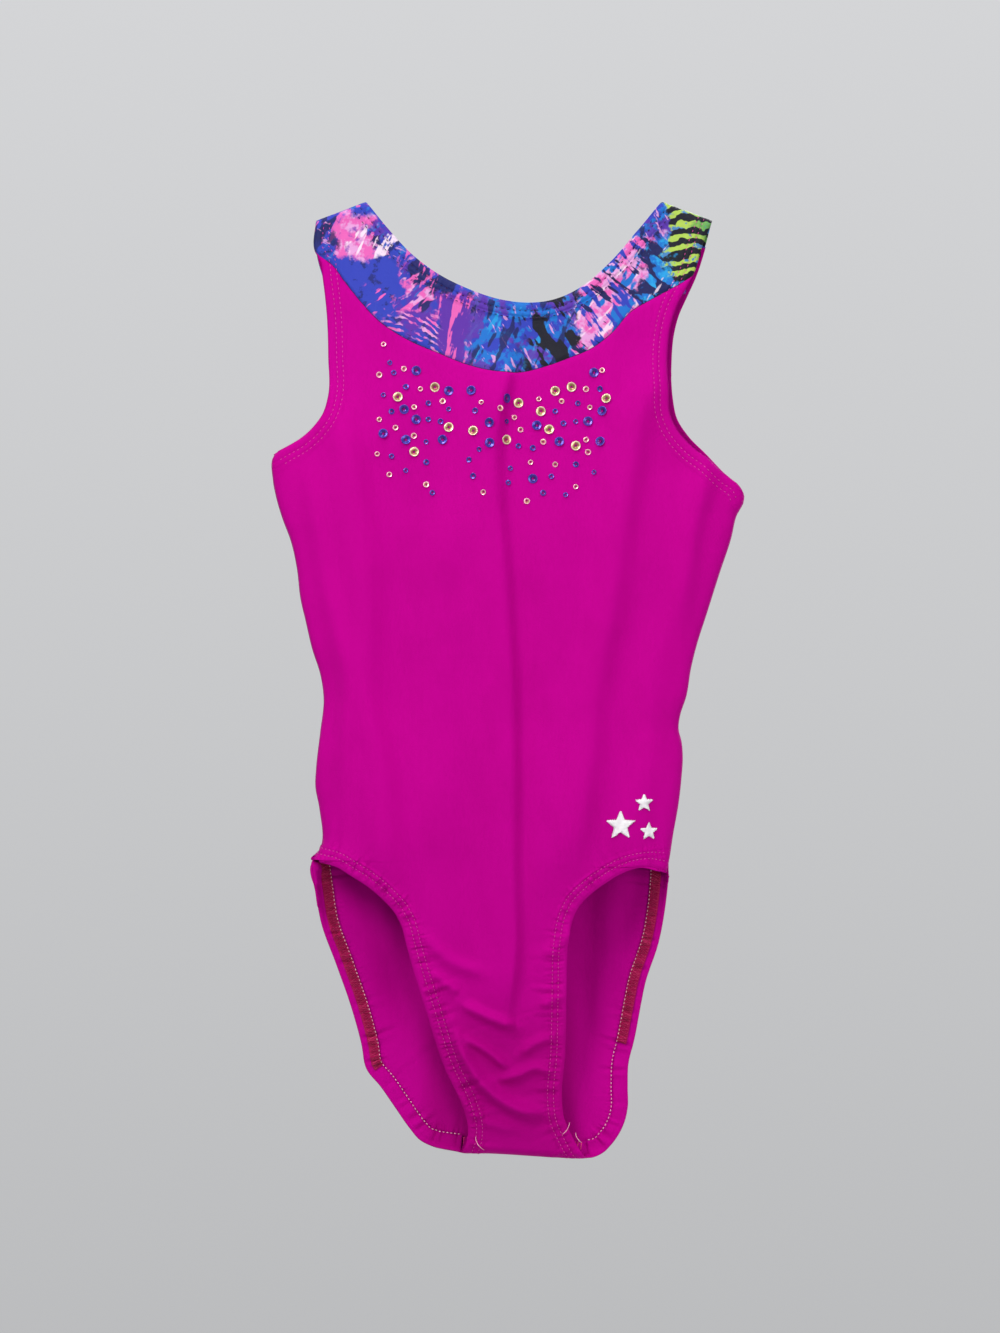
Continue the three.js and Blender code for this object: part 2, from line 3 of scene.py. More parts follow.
import bpy
import numpy as np
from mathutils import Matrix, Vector


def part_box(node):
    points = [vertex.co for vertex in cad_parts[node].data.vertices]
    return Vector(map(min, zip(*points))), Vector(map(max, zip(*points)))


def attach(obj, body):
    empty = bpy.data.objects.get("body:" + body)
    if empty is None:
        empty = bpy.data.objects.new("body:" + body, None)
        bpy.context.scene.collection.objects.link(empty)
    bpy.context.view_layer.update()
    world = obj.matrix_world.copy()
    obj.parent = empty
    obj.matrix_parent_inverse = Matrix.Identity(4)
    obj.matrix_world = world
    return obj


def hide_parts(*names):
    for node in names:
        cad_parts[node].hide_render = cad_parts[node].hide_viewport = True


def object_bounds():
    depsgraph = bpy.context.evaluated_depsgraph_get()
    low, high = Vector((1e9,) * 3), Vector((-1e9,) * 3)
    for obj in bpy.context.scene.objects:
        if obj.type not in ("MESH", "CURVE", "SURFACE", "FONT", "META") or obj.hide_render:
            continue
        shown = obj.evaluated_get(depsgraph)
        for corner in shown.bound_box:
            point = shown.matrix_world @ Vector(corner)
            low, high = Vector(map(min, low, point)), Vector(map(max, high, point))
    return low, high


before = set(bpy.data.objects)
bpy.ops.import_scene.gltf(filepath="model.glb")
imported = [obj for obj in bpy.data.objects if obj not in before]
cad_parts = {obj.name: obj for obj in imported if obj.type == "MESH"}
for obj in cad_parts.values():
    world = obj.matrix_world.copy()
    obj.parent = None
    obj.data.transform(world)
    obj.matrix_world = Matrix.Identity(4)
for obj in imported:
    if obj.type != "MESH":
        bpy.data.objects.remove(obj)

# A gymnastics leotard as it hangs by its straps. Shapes are worked out in millimetres.
MM = 0.001
cad_low, cad_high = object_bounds()

# ---- camera
# The picture is 1000 x 1333, and it is taken square on from in front.
VIEW_HEIGHT = 657 * MM
VIEW_CENTRE = Vector((-7, 0, -223.7)) * MM
VIEW_DISTANCE = 1.25
SENSOR = 36.0

camera = bpy.data.objects.new("camera", bpy.data.cameras.new("camera"))
bpy.context.scene.collection.objects.link(camera)
bpy.context.scene.camera = camera
camera.location = VIEW_CENTRE + Vector((0, -VIEW_DISTANCE, 0))
camera.rotation_euler = (math.pi / 2, 0, 0)
camera.data.sensor_width = SENSOR
camera.data.lens = SENSOR * VIEW_DISTANCE / VIEW_HEIGHT


# ---- curves and fields
def run_of(line):
    """The length along a line to each of its points."""
    return np.concatenate([[0], np.cumsum(np.linalg.norm(np.diff(line, axis=0), axis=1))])


def resampled(line, run, at):
    """The line's points at other lengths along it."""
    return np.stack([np.interp(at, run, line[:, k]) for k in range(line.shape[1])], axis=1)


def hermite(points, per_span=8):
    """A smooth line through the points, as an array of points."""
    p = np.array(points, float)
    t = run_of(p)
    slope = np.gradient(p, t, axis=0)
    out = [p[:1]]
    for i, span in enumerate(np.linalg.norm(np.diff(p, axis=0), axis=1)):
        s = np.linspace(0, 1, per_span + 1)[1:, None]
        a, b = p[i], p[i + 1]
        ma, mb = slope[i] * span, slope[i + 1] * span
        out.append((2 * s**3 - 3 * s**2 + 1) * a + (s**3 - 2 * s**2 + s) * ma
                   + (3 * s**2 - 2 * s**3) * b + (s**3 - s**2) * mb)
    return np.concatenate(out)


def smoothstep(x, low, high):
    t = np.clip((x - low) / (high - low), 0, 1)
    return t * t * (3 - 2 * t)


def bump(x, width):
    return np.exp(-((x / width) ** 2))


def by_height(line):
    """The line's x as a function of z, for a line that only goes down."""
    order = np.argsort(line[:, 1], kind="stable")
    return lambda z: np.interp(z, line[order, 1], line[order, 0])


def by_width(line):
    """The line's z as a function of x, for a line that only goes to the right."""
    return lambda x: np.interp(x, line[:, 0], line[:, 1])


# ---- outlines, seen from the front
FRONT_NECK = [(-73, 5), (-61.5, -9.2), (-50.5, -21), (-36.6, -31.4), (-22.7, -38.3), (-8.9, -43.1),
              (4.9, -45.2), (18.7, -43.8), (32.6, -37.6), (46.4, -25.8), (60.3, -9.9), (72.5, 5)]
BACK_NECK = [(-73, 5), (-64, -14), (-52, -33), (-37, -50), (-18, -62), (0, -66), (18, -62), (37, -50),
             (52, -33), (64, -14), (72.5, 5)]
LEFT_SIDE = [(-118.2, -119.6), (-118.9, -131.9), (-117.5, -139.5), (-114.2, -150.8), (-110, -162.1),
             (-107.1, -175.3), (-105.3, -190.4), (-102.9, -200.8), (-99.6, -214.9), (-95.4, -228.2),
             (-93.9, -239.4), (-95.6, -256), (-97.6, -273.3), (-98, -282.7), (-96, -293.7),
             (-95.6, -313.4)]
RIGHT_SIDE = [(113.2, -141.3), (109.4, -149.8), (107, -160.2), (101.4, -177.2), (94.8, -198),
              (90, -213), (87.2, -224.3), (84.8, -238.5), (81.7, -248.1), (81, -254.4), (82.5, -260.7),
              (83.1, -268.6), (82.5, -278), (81, -291.3), (78.6, -304.7), (76.2, -316.5)]
LEFT_ARM = [(-97.5, -4.4), (-97.5, -20.5), (-95.8, -23), (-94, -33.6), (-92, -51), (-91.2, -71.7),
            (-91.2, -91.8), (-93.5, -99.8), (-98.2, -106.4), (-104.8, -112.1), (-112.3, -116.3)]
LEFT_ARM_BACK = [(-97.5, -4.4), (-97.5, -20.5), (-94, -33.6), (-90.5, -51), (-88.5, -71.7),
                 (-88.8, -91.8), (-92, -99.8), (-98, -106.6), (-104.8, -112.4), (-112.3, -116.6)]
RIGHT_ARM = [(97.5, -4.4), (91.8, -18.8), (88.7, -29.4), (84.6, -37.7), (79.7, -46.8), (76.7, -56.6),
             (75.1, -67.9), (74.8, -75.5), (75.4, -86.8), (76.2, -100.7), (79.2, -107.3),
             (86.3, -115.8), (94.8, -122.4), (103.2, -130), (109.9, -134.7)]
RIGHT_ARM_BACK = [(97.5, -4.4), (94, -18.8), (90, -31), (85.5, -41), (81.5, -50), (79, -60),
                  (78, -72), (78.6, -90), (81, -101), (87, -110), (95, -118), (103, -126.6),
                  (110, -133.5)]
LEFT_LEG = [(-100.2, -318.9), (-95.5, -319.6), (-87.1, -321.5), (-79.9, -325.7), (-71.5, -330.9),
            (-64.3, -337.1), (-58.1, -344.3), (-55, -350.6), (-52.9, -358.9), (-49.8, -370.3),
            (-43.5, -391), (-34.2, -420.1), (-24.3, -442), (-22.7, -449.2), (-23.3, -456.4),
            (-26, -463.4)]
RIGHT_LEG = [(75, -320.2), (65, -321.3), (57.7, -322.6), (51.5, -325.1), (45.3, -328.8),
             (36.9, -334.9), (31.8, -340.2), (28.7, -346.4), (26.4, -358), (25.6, -381.7),
             (25, -412.9), (23.5, -437.8), (24.5, -445.1), (27.6, -452.3), (32, -460.6),
             (35.5, -466)]
LEFT_LEG_BACK = [(-99.9, -320.2), (-98, -335), (-95.6, -350.3), (-88.2, -371.4), (-80.9, -392.1),
                 (-75.7, -410.8), (-73.1, -423.3), (-66.4, -431.5), (-59.1, -442), (-51.8, -452.3),
                 (-46.6, -458.2), (-39.4, -461.4), (-31.1, -462.7), (-26, -463.4)]
RIGHT_LEG_BACK = [(76.2, -323), (75.4, -336.2), (71.5, -360.6), (65, -380.7), (62.9, -391),
                  (59.3, -409.7), (56.7, -420.1), (56.2, -431.5), (56.2, -442), (54.6, -449.2),
                  (49.4, -458.6), (44.2, -463.8), (39.6, -465.6), (35.5, -466)]
FRONT_YOKE = [(-104, -12), (-95.9, -21.7), (-89.9, -26), (-83, -35), (-74.7, -45.4), (-67, -53.7),
              (-57.4, -60.6), (-48.3, -65.5), (-36.6, -70.3), (-24.8, -75.2), (-11, -79),
              (2.7, -79.7), (15.5, -76.6), (26.8, -72.5), (38.1, -67.6), (48, -60), (57, -49.8),
              (68.3, -43), (84.6, -33.9), (98, -24)]
BACK_YOKE = [(-112, -62), (-90, -70), (-66, -88), (-40, -106), (-14, -116), (8, -117), (34, -108),
             (60, -92), (82, -77), (104, -68)]
CROTCH_LINE = [(-60, -463), (-24, -463.4), (-8, -463.8), (8, -464.8), (24, -465.8), (36, -466),
               (60, -466)]
SHOULDER_SEAM_DROP = 13.0

left_front = by_height(hermite(LEFT_ARM + LEFT_SIDE + LEFT_LEG))
right_front = by_height(hermite(RIGHT_ARM + RIGHT_SIDE + RIGHT_LEG))
left_back = by_height(hermite(LEFT_ARM_BACK + LEFT_SIDE + LEFT_LEG_BACK))
right_back = by_height(hermite(RIGHT_ARM_BACK + RIGHT_SIDE + RIGHT_LEG_BACK))
front_neck = by_width(hermite(FRONT_NECK))
back_neck = by_width(hermite(BACK_NECK))
front_seam = by_width(hermite(FRONT_YOKE))
back_seam = by_width(hermite(BACK_YOKE))
crotch = by_width(hermite(CROTCH_LINE))


def sides(front):
    """The left and the right outline of the front or the back."""
    return (left_front, right_front) if front else (left_back, right_back)


def strap_top(x):
    return np.interp(np.abs(x), [72.75, 97.5], [5, -4.4])


# ---- the draped form
DEPTH = [(-470, 5.5), (-455, 6.5), (-430, 7.5), (-390, 9.5), (-320, 12.5), (-248, 11.5), (-140, 12.5),
         (-110, 11), (-60, 7.5), (-20, 5.2), (10, 5)]
LEFT_FORM = ([(-118.5, 10), (-118.5, -60)] + LEFT_SIDE
             + [(-96.5, -323), (-97, -350), (-88, -420), (-75, -470)])
RIGHT_FORM = ([(118, 10), (118, -60), (116, -120)] + RIGHT_SIDE
              + [(76, -330), (77, -350), (80, -420), (81, -470)])
BELLY_RISE, BELLY_LEVEL, BELLY_REACH = 3.8, -295, 62
LEFT_HIP, RIGHT_HIP = -318.6, -320.1  # the side seams end here, and the leg openings begin
FOLD_RADIUS = 5.0  # where the cloth turns over at the straps and at the crotch


def level(table):
    line = hermite([(z, value) for z, value in table])
    return lambda z: np.interp(z, line[:, 0], line[:, 1])


depth_at = level(DEPTH)
left_form = by_height(hermite(LEFT_FORM))
right_form = by_height(hermite(RIGHT_FORM))

# Each fold is a path in X and Z, with its height and the widths of its two flanks.
FOLD_HEIGHT = 1.75  # of the heights listed
FRONT_FOLDS = [
    ([(-84, -105), (-76.5, -149), (-73, -187), (-73, -239), (-66, -272), (-62, -327)], 3.2, 13, 9),
    ([(-4, -82), (-10, -118), (-8.6, -140), (-4.7, -187), (-1.9, -239), (-1.2, -327),
      (-0.4, -363), (-3.6, -391)], 3.5, 15, 3.6),
    ([(66, -85), (60, -105), (54, -140), (49.5, -168), (45.6, -196), (39, -234), (35, -272),
      (28, -319)], 3.0, 12, 8),
    ([(94, -128), (86, -163), (84, -200)], 2.2, 8, 6),
    ([(-30, -150), (-34, -200), (-38, -260), (-36, -310)], 1.2, 14, 14),
    ([(20, -160), (19, -220), (17, -300), (12, -340)], 1.0, 10, 12),
    ([(-100, -130), (-95, -175), (-86, -224), (-84, -290)], 1.6, 6, 6),
    ([(46, -76), (46, -100), (44, -131)], 0.8, 5, 5),
    ([(-27, -84), (-27, -128)], 0.7, 4, 4),
    ([(68, -215), (66, -262), (58, -306)], 1.0, 8, 8),
]
BACK_FOLDS = [
    ([(-70, -110), (-66, -180), (-62, -250), (-58, -330), (-48, -400)], 3.0, 13, 10),
    ([(4, -126), (2, -200), (0, -300), (-4, -380), (-2, -430)], 2.6, 12, 9),
    ([(62, -110), (54, -180), (46, -250), (38, -330), (34, -420)], 3.0, 12, 10),
    ([(-34, -140), (-30, -220), (-28, -320)], 1.2, 12, 12),
    ([(30, -150), (28, -230), (24, -330)], 1.2, 12, 12),
    ([(-86, -300), (-72, -350), (-58, -400)], 1.4, 8, 8),
    ([(64, -310), (54, -360), (48, -410)], 1.4, 8, 8),
]
CREASE_HEIGHT = 2.7
# Creases run across the gusset: a short path, with its height and width.
FRONT_CREASES = [
    ([(-27, -388), (-12, -395), (2, -400)], 1.6, 2.6),
    ([(-27, -404), (-14, -411), (-1, -422)], 1.4, 2.4),
    ([(-11, -426), (0, -424), (11, -420), (20, -424)], 1.2, 2.4),
    ([(-31, -397), (-24, -415), (-14, -429), (2, -440), (18, -443)], 2.6, 3.4),
    ([(-30, -430), (-16, -445), (6, -452)], 0.8, 3.0),
    ([(22, -404), (10, -408), (2, -414)], 1.0, 2.4),
    ([(24, -384), (12, -390)], 0.8, 2.4),
    ([(-42, -372), (-26, -384)], 0.9, 2.6),
    ([(-48, -352), (-30, -368), (-14, -374)], 0.8, 3.4),
    ([(30, -352), (14, -366)], 0.7, 3.4),
]


def along_path(path, x, z):
    """How far each point is sideways of a steep path, and its share of the way along it."""
    line = hermite(path)
    line = line[np.argsort(line[:, 1])]
    middle = np.interp(z, line[:, 1], line[:, 0])
    low, high = line[0, 1], line[-1, 1]
    fade = smoothstep(z, low - 22, low + 22) * (1 - smoothstep(z, high - 14, high + 24))
    return x - middle, fade


def nearest(path, x, z, per_span=26):
    """Distance to a short path and the share of the way along it."""
    line = hermite(path, per_span)
    gap, share = np.full(x.shape, FAR), np.zeros(x.shape)
    low, high = line.min(0) - 14, line.max(0) + 14
    close = (x > low[0]) & (x < high[0]) & (z > low[1]) & (z < high[1])
    if close.any():
        apart = np.hypot(x[close][:, None] - line[:, 0], z[close][:, None] - line[:, 1])
        gap[close] = apart.min(1)
        share[close] = apart.argmin(1) / (len(line) - 1)
    return gap, share


def folds(x, z, table):
    total = np.zeros_like(x)
    for path, height, left, right in table:
        across, fade = along_path(path, x, z)
        ridge = np.where(across < 0, bump(across, left), bump(across, right))
        total += FOLD_HEIGHT * height * fade * ridge
    return total


def creases(x, z, table):
    total = np.zeros_like(x)
    for path, height, width in table:
        gap, share = nearest(path, x, z)
        ends = smoothstep(share, -0.05, 0.25) * (1 - smoothstep(share, 0.75, 1.05))
        total += CREASE_HEIGHT * height * np.maximum(ends, 0.25) * bump(gap, width)
    return total


def waviness(x, z):
    """Small, irregular unevenness of hanging knit."""
    return (0.35 * np.sin(x * 0.11 + 1.3 * np.sin(z * 0.021)) * np.sin(z * 0.035 + 0.6)
            + 0.22 * np.sin(x * 0.23 - z * 0.05 + 2.0) * np.cos(z * 0.06 + x * 0.04)
            + 0.12 * np.sin(x * 0.41 + z * 0.13))


# ---- edges and their hems
HEM = 7.8
INNER_ROW, OUTER_ROW = 4.2, 7.1
EDGE_STEP = 0.5  # between the points of an edge
FAR = 99.0  # more than any distance that matters


def outline_of(points):
    """An edge as evenly spaced points."""
    line = hermite(points, 10)
    run = run_of(line)
    return resampled(line, run, np.arange(0, run[-1], EDGE_STEP))


EDGE_NAMES = ("neck", "left_arm", "right_arm", "left_leg", "right_leg")


def edges_of(*lines):
    return {name: outline_of(line) for name, line in zip(EDGE_NAMES, lines)}


FRONT_EDGES = edges_of(FRONT_NECK, LEFT_ARM + LEFT_SIDE[:1], RIGHT_ARM + RIGHT_SIDE[:1], LEFT_LEG,
                       RIGHT_LEG)
BACK_EDGES = edges_of(BACK_NECK, LEFT_ARM_BACK + LEFT_SIDE[:1], RIGHT_ARM_BACK + RIGHT_SIDE[:1],
                      LEFT_LEG_BACK, RIGHT_LEG_BACK)
FACES = ((True, FRONT_EDGES), (False, BACK_EDGES))


def near_edge(edge, x, z):
    """Distance from each point to the edge, and the length along the edge to the nearest place."""
    flat_x, flat_z = x.ravel(), z.ravel()
    gap = np.full(flat_x.shape, FAR)
    run = np.zeros(flat_x.shape)
    reach = 34.0
    low, high = edge.min(0) - reach, edge.max(0) + reach
    close = np.flatnonzero((flat_x > low[0]) & (flat_x < high[0])
                           & (flat_z > low[1]) & (flat_z < high[1]))
    for part in np.array_split(close, max(1, len(close) // 4000)):
        d = np.hypot(flat_x[part, None] - edge[:, 0], flat_z[part, None] - edge[:, 1])
        gap[part] = d.min(1)
        run[part] = d.argmin(1) * EDGE_STEP
    return gap.reshape(x.shape), run.reshape(x.shape)


HEM_RISE, EDGE_ROLL, ROW_WIDTH = 0.55, 0.9, 0.7
INNER_SINK, OUTER_SINK = 0.3, 0.35
RIBS = ((1.2, 7.3, 0.0), (0.7, 4.7, 0.8))  # height, pitch and phase of the gathers
GATHER_REACH = 17.0  # on average, from the edge


def hem_relief(gap, run, gather):
    """The raised hem over its elastic, the two sunk rows of stitches and the gathers beside it."""
    raised = HEM_RISE * (1 - smoothstep(gap, HEM, HEM + 1.2))
    rolled = -EDGE_ROLL * bump(gap, 0.9)
    rows = (-INNER_SINK * bump(gap - INNER_ROW, ROW_WIDTH)
            - OUTER_SINK * bump(gap - OUTER_ROW, ROW_WIDTH))
    wander = run + 1.6 * np.sin(run * 0.19) + 0.9 * np.sin(run * 0.47 + 1.0)
    ribs = sum(height * np.sin(wander * 2 * math.pi / pitch + phase) for height, pitch, phase in RIBS)
    length = GATHER_REACH + 8.0 * np.sin(run * 0.083 + 1.0) + 4.0 * np.sin(run * 0.31)
    reach = smoothstep(gap, 0.5, 4.0) * (1 - smoothstep(gap, 6.0, length))
    strength = 0.75 + 0.35 * np.sin(run * 0.13 + 2.0) + 0.25 * np.sin(run * 0.37)
    return raised + rolled + rows + gather * strength * ribs * reach


GATHERS = {"neck": 0.16, "left_arm": 0.05, "right_arm": 0.05, "left_leg": 0.55, "right_leg": 0.42}
SECTION_POWER = 4  # how square the front and the back are from side to side
STRAPS_LOW = -40  # the turn over the straps ends above here
PUCKER_HEIGHT, PUCKER_PITCH, SEAM_SINK = 0.18, 4.4, 0.55


def surface(x, z, front):
    """The outer face of the cloth: its y, in millimetres, at places in X and Z."""
    x, z = np.asarray(x, float), np.asarray(z, float)
    left_seam = (z < LEFT_SIDE[0][1]) & (z > LEFT_HIP)
    right_seam = (z < RIGHT_SIDE[0][1]) & (z > RIGHT_HIP)
    # Where a side seam holds the two faces together, the form ends at the seam.
    low = np.where(left_seam, np.maximum(left_front(z), left_back(z)), left_form(z))
    high = np.where(right_seam, np.minimum(right_front(z), right_back(z)), right_form(z))
    across = np.clip(np.abs(2 * x - low - high) / (high - low), 0, 1)
    depth = depth_at(z)
    edge_turn = np.clip((z - crotch(x)) / FOLD_RADIUS, 0, 1)
    depth = depth * np.sqrt(1 - (1 - edge_turn) ** 2)
    top_turn = np.clip((strap_top(x) + 0.4 - z) / FOLD_RADIUS, 0, 1)
    depth = np.where(z > STRAPS_LOW, depth * np.sqrt(1 - (1 - top_turn) ** 2), depth)
    if front:
        depth = depth + BELLY_RISE * bump(z - BELLY_LEVEL, BELLY_REACH)
    body = depth * (1 - across**SECTION_POWER) ** (1 / SECTION_POWER)
    inside = 1 - smoothstep(across, 0.82, 0.99)
    table, edges = (FRONT_FOLDS, FRONT_EDGES) if front else (BACK_FOLDS, BACK_EDGES)
    ease = smoothstep(z, crotch(x), crotch(x) + 14) * (1 - smoothstep(z, -60, -20)) * inside
    relief = (folds(x, z, table) + waviness(x, z)) * ease
    if front:
        relief = relief + creases(x, z, FRONT_CREASES) * smoothstep(z, crotch(x), crotch(x) + 8)
    seam = z - (front_seam(x) if front else back_seam(x))
    pucker = PUCKER_HEIGHT * np.sin(x * 2 * math.pi / PUCKER_PITCH + np.sin(x * 0.3)) * bump(seam + 4, 5)
    relief = relief + np.where(np.abs(seam) < 25, pucker - SEAM_SINK * bump(seam, 1.1), 0)
    for name, edge in edges.items():
        gap, run = near_edge(edge, x, z)
        relief = relief + hem_relief(gap, run, GATHERS[name])
    y = body + relief
    return -y if front else y


def droop(x, z):
    """The height of a place once the right hip corner hangs a little lower than the leg's arch."""
    return z - 4.2 * bump(x - 76, 7) * bump(z + 321, 8)


# ---- meshes
MODELLED_WIDTH, MODELLED_HEIGHT = 231.9, 471.2
fit_x = (cad_high.x - cad_low.x) / (MODELLED_WIDTH * MM)
fit_z = (cad_high.z - cad_low.z) / (MODELLED_HEIGHT * MM)


def to_metres(points):
    return points * np.array([fit_x, fit_x, fit_z]) * MM


def make_object(name, verts, faces, material, smooth=True):
    """A mesh object from points in millimetres."""
    mesh = bpy.data.meshes.new(name)
    mesh.from_pydata(to_metres(np.asarray(verts, float)).tolist(), [], [list(f) for f in faces])
    mesh.validate()
    mesh.update()
    mesh.polygons.foreach_set("use_smooth", [smooth] * len(mesh.polygons))
    mesh.materials.append(material)
    obj = bpy.data.objects.new(name, mesh)
    bpy.context.scene.collection.objects.link(obj)
    return obj


def grid_faces(rows, columns, start=0, flip=False):
    r, c = np.meshgrid(np.arange(rows - 1), np.arange(columns - 1), indexing="ij")
    a = start + r * columns + c
    quads = np.stack([a, a + 1, a + columns + 1, a + columns], axis=-1).reshape(-1, 4)
    return quads[:, ::-1] if flip else quads


def merged(parts):
    """Several (verts, faces) in one."""
    verts, faces, start = [], [], 0
    for v, f in parts:
        verts.append(np.asarray(v, float))
        faces += [tuple(int(i) + start for i in face) for face in f]
        start += len(v)
    return np.concatenate(verts), faces


WELD_GAP = 0.02


def weld(verts, faces):
    """Joins points that lie together, so that patches become one sheet."""
    keys = np.round(verts / WELD_GAP).astype(np.int64)
    _, first, back = np.unique(keys, axis=0, return_index=True, return_inverse=True)
    back = back.ravel()
    kept = []
    for face in faces:
        mapped = []
        for i in face:
            j = int(back[i])
            if j not in mapped:
                mapped.append(j)
        if len(mapped) > 2:
            kept.append(mapped)
    return verts[first], kept


SEARCH_FOOT, SOLVE_STEPS = -130.0, 40


def solve_columns(shares, left, right, line, top=0.0):
    """For each share of the way across, the height up to top where its column meets the line."""
    low_z, high_z = np.full(shares.shape, SEARCH_FOOT), np.full(shares.shape, top)
    for _ in range(SOLVE_STEPS):
        z = (low_z + high_z) / 2
        x = left(z) + (right(z) - left(z)) * shares
        above = z > line(x)
        high_z, low_z = np.where(above, z, high_z), np.where(above, low_z, z)
    return (low_z + high_z) / 2


COLUMNS = 132


def column_shares():
    """Shares of the way across, closer together at both edges."""
    t = np.linspace(0, 1, COLUMNS)
    return t - 0.5 * np.sin(2 * math.pi * t) / (2 * math.pi) * 0.72


STRAP_SHARE = 24.6 / 195  # of the width across both straps
SHARES = np.unique(np.concatenate([column_shares(), [STRAP_SHARE, 1 - STRAP_SHARE]]).round(5))
MORPH_LEVEL = -150.0  # rows are level from here down
EDGE_SHARE = 0.35  # of the width, over which columns bend to follow a leg edge


def across_cloth(u, z, left, right):
    """The x of each column: from the hips down it bends only beside the edges."""
    plain = left(z) + (right(z) - left(z)) * u
    reach = np.linspace(-18, 18, 13)
    calm_left = np.mean([left(z + d) for d in reach], axis=0)
    calm_right = np.mean([right(z + d) for d in reach], axis=0)
    by_left = np.clip(1 - u / EDGE_SHARE, 0, 1) ** 2
    by_right = np.clip(1 - (1 - u) / EDGE_SHARE, 0, 1) ** 2
    calm = (calm_left + (calm_right - calm_left) * u + (left(z) - calm_left) * by_left
            + (right(z) - calm_right) * by_right)
    share = smoothstep(-z, 200, 245)
    return plain * (1 - share) + calm * share


def body_rows():
    """Heights of the level rows, closer together where the cloth is gathered."""
    spans = [(MORPH_LEVEL, -312, 1.75), (-312, -318, 0.8), (-318, -328, 0.3), (-328, -338, 0.8),
             (-338, -456, 1.15), (-456, -463, 0.7)]
    rows = [np.linspace(top, low, int((top - low) / step) + 1)[1:] for top, low, step in spans]
    return np.concatenate([[MORPH_LEVEL]] + rows)


def body_patch(front):
    left, right = sides(front)
    seam = front_seam if front else back_seam
    u = SHARES
    top = solve_columns(u, left, right, seam)
    steps = 74 if front else 62
    rows = [top + (MORPH_LEVEL - top) * v for v in np.linspace(0, 1, steps)[:-1]]
    rows += [np.full(u.shape, z) for z in body_rows()]
    last = rows[-1]
    x_end = across_cloth(u, last, left, right)
    floor = crotch(x_end)
    rows += [last + (floor - last) * share for share in (0.35, 0.62, 0.82, 0.94, 1.0)]
    z = np.array(rows)
    return across_cloth(u, z, left, right), z


def sheet_from(x, z, front, lift=0.0):
    """Points on the cloth: lift is above its outer face, and below it when negative."""
    y = surface(x, z, front) + (-lift if front else lift)
    return np.stack([x, y, droop(x, z)], axis=-1)


def body_mesh(front):
    x, z = body_patch(front)
    points = sheet_from(x, z, front)
    return points.reshape(-1, 3), grid_faces(*x.shape, flip=front)


def yoke_mesh(front):
    left, right = sides(front)
    seam = front_seam if front else back_seam
    neck = front_neck if front else back_neck
    u = SHARES
    foot = solve_columns(u, left, right, seam)
    shoulder = (lambda x: strap_top(x)) if front else (lambda x: strap_top(x) - SHOULDER_SEAM_DROP)

    def crest(x):
        return np.where(np.abs(x) > 72.9, shoulder(x), np.minimum(neck(x), shoulder(x)))

    head = solve_columns(u, left, right, crest, 8.0)
    v = np.linspace(0, 1, 84 if front else 60)
    v = np.where(v < 0.5, v, 1 - (1 - v) ** 1.5 * 2**0.5)
    z = foot + (head - foot) * v[:, None]
    x = left(z) + (right(z) - left(z)) * u
    parts = [(sheet_from(x, z, front).reshape(-1, 3), grid_faces(*x.shape, flip=not front))]
    if front:
        for side in (-1, 1):
            parts.append(strap_back(side, x[-1], z[-1]))
    return weld(*merged(parts))


def strap_back(side, top_x, top_z):
    """The end of a strap, from its top down the back to the shoulder seam."""
    on_strap = side * top_x > 72.0
    x0, z0 = top_x[on_strap], top_z[on_strap]
    inner, outer = np.abs(x0).min(), np.abs(x0).max()
    share = (np.abs(x0) - inner) / (outer - inner)
    edge = left_back if side < 0 else right_back
    rows = []
    for down in np.linspace(0, 1, 15) ** 1.4 * SHOULDER_SEAM_DROP:
        low = z0 - down
        out = np.abs(edge(low))
        neck_x = np.interp(low, back_inner[:, 1], back_inner[:, 0])
        x = side * (neck_x + (out - neck_x) * share) if down > 0 else x0
        z = strap_top(x) - down if down > 0 else z0
        y = surface(x, z, False) if down > 0 else surface(x, z, True)
        rows.append(np.stack([x, y, z], axis=-1))
    rows = np.array(rows)
    return rows.reshape(-1, 3), grid_faces(*rows.shape[:2])


# The back neckline's half width at each height, beside the straps.
right_neck = hermite(BACK_NECK)
right_neck = right_neck[right_neck[:, 0] > 0]
back_inner = right_neck[np.argsort(right_neck[:, 1])]


# ---- threads
def tube(path, radius, sides=5, taper=0.35):
    """A round thread along a line of points, as vertices and faces, with drawn-in closed ends."""
    path = np.asarray(path, float)
    along = np.gradient(path, axis=0)
    along /= np.linalg.norm(along, axis=1, keepdims=True) + 1e-9
    out = np.tile([0.0, 1.0, 0.0], (len(path), 1))
    out[np.abs(along[:, 1]) > 0.9] = [0, 0, 1]
    side = np.cross(along, out)
    side /= np.linalg.norm(side, axis=1, keepdims=True)
    out = np.cross(side, along)
    size = np.full(len(path), radius)
    size[[0, -1]] *= taper
    turn = np.arange(sides) / sides * 2 * math.pi
    ring = side[:, None] * np.cos(turn)[:, None] + out[:, None] * np.sin(turn)[:, None]
    verts = (path[:, None] + ring * size[:, None, None]).reshape(-1, 3)
    faces = []
    for i in range(len(path) - 1):
        for k in range(sides):
            a, b = i * sides + k, i * sides + (k + 1) % sides
            faces.append((a, b, b + sides, a + sides))
    faces.append(tuple(range(sides))[::-1])
    faces.append(tuple(range(len(verts) - sides, len(verts))))
    return verts, faces


def inward(edge):
    """The unit direction from each point of an edge into the cloth, before it is known which side."""
    along = np.gradient(edge, axis=0)
    along /= np.linalg.norm(along, axis=1, keepdims=True)
    return np.stack([-along[:, 1], along[:, 0]], axis=1)


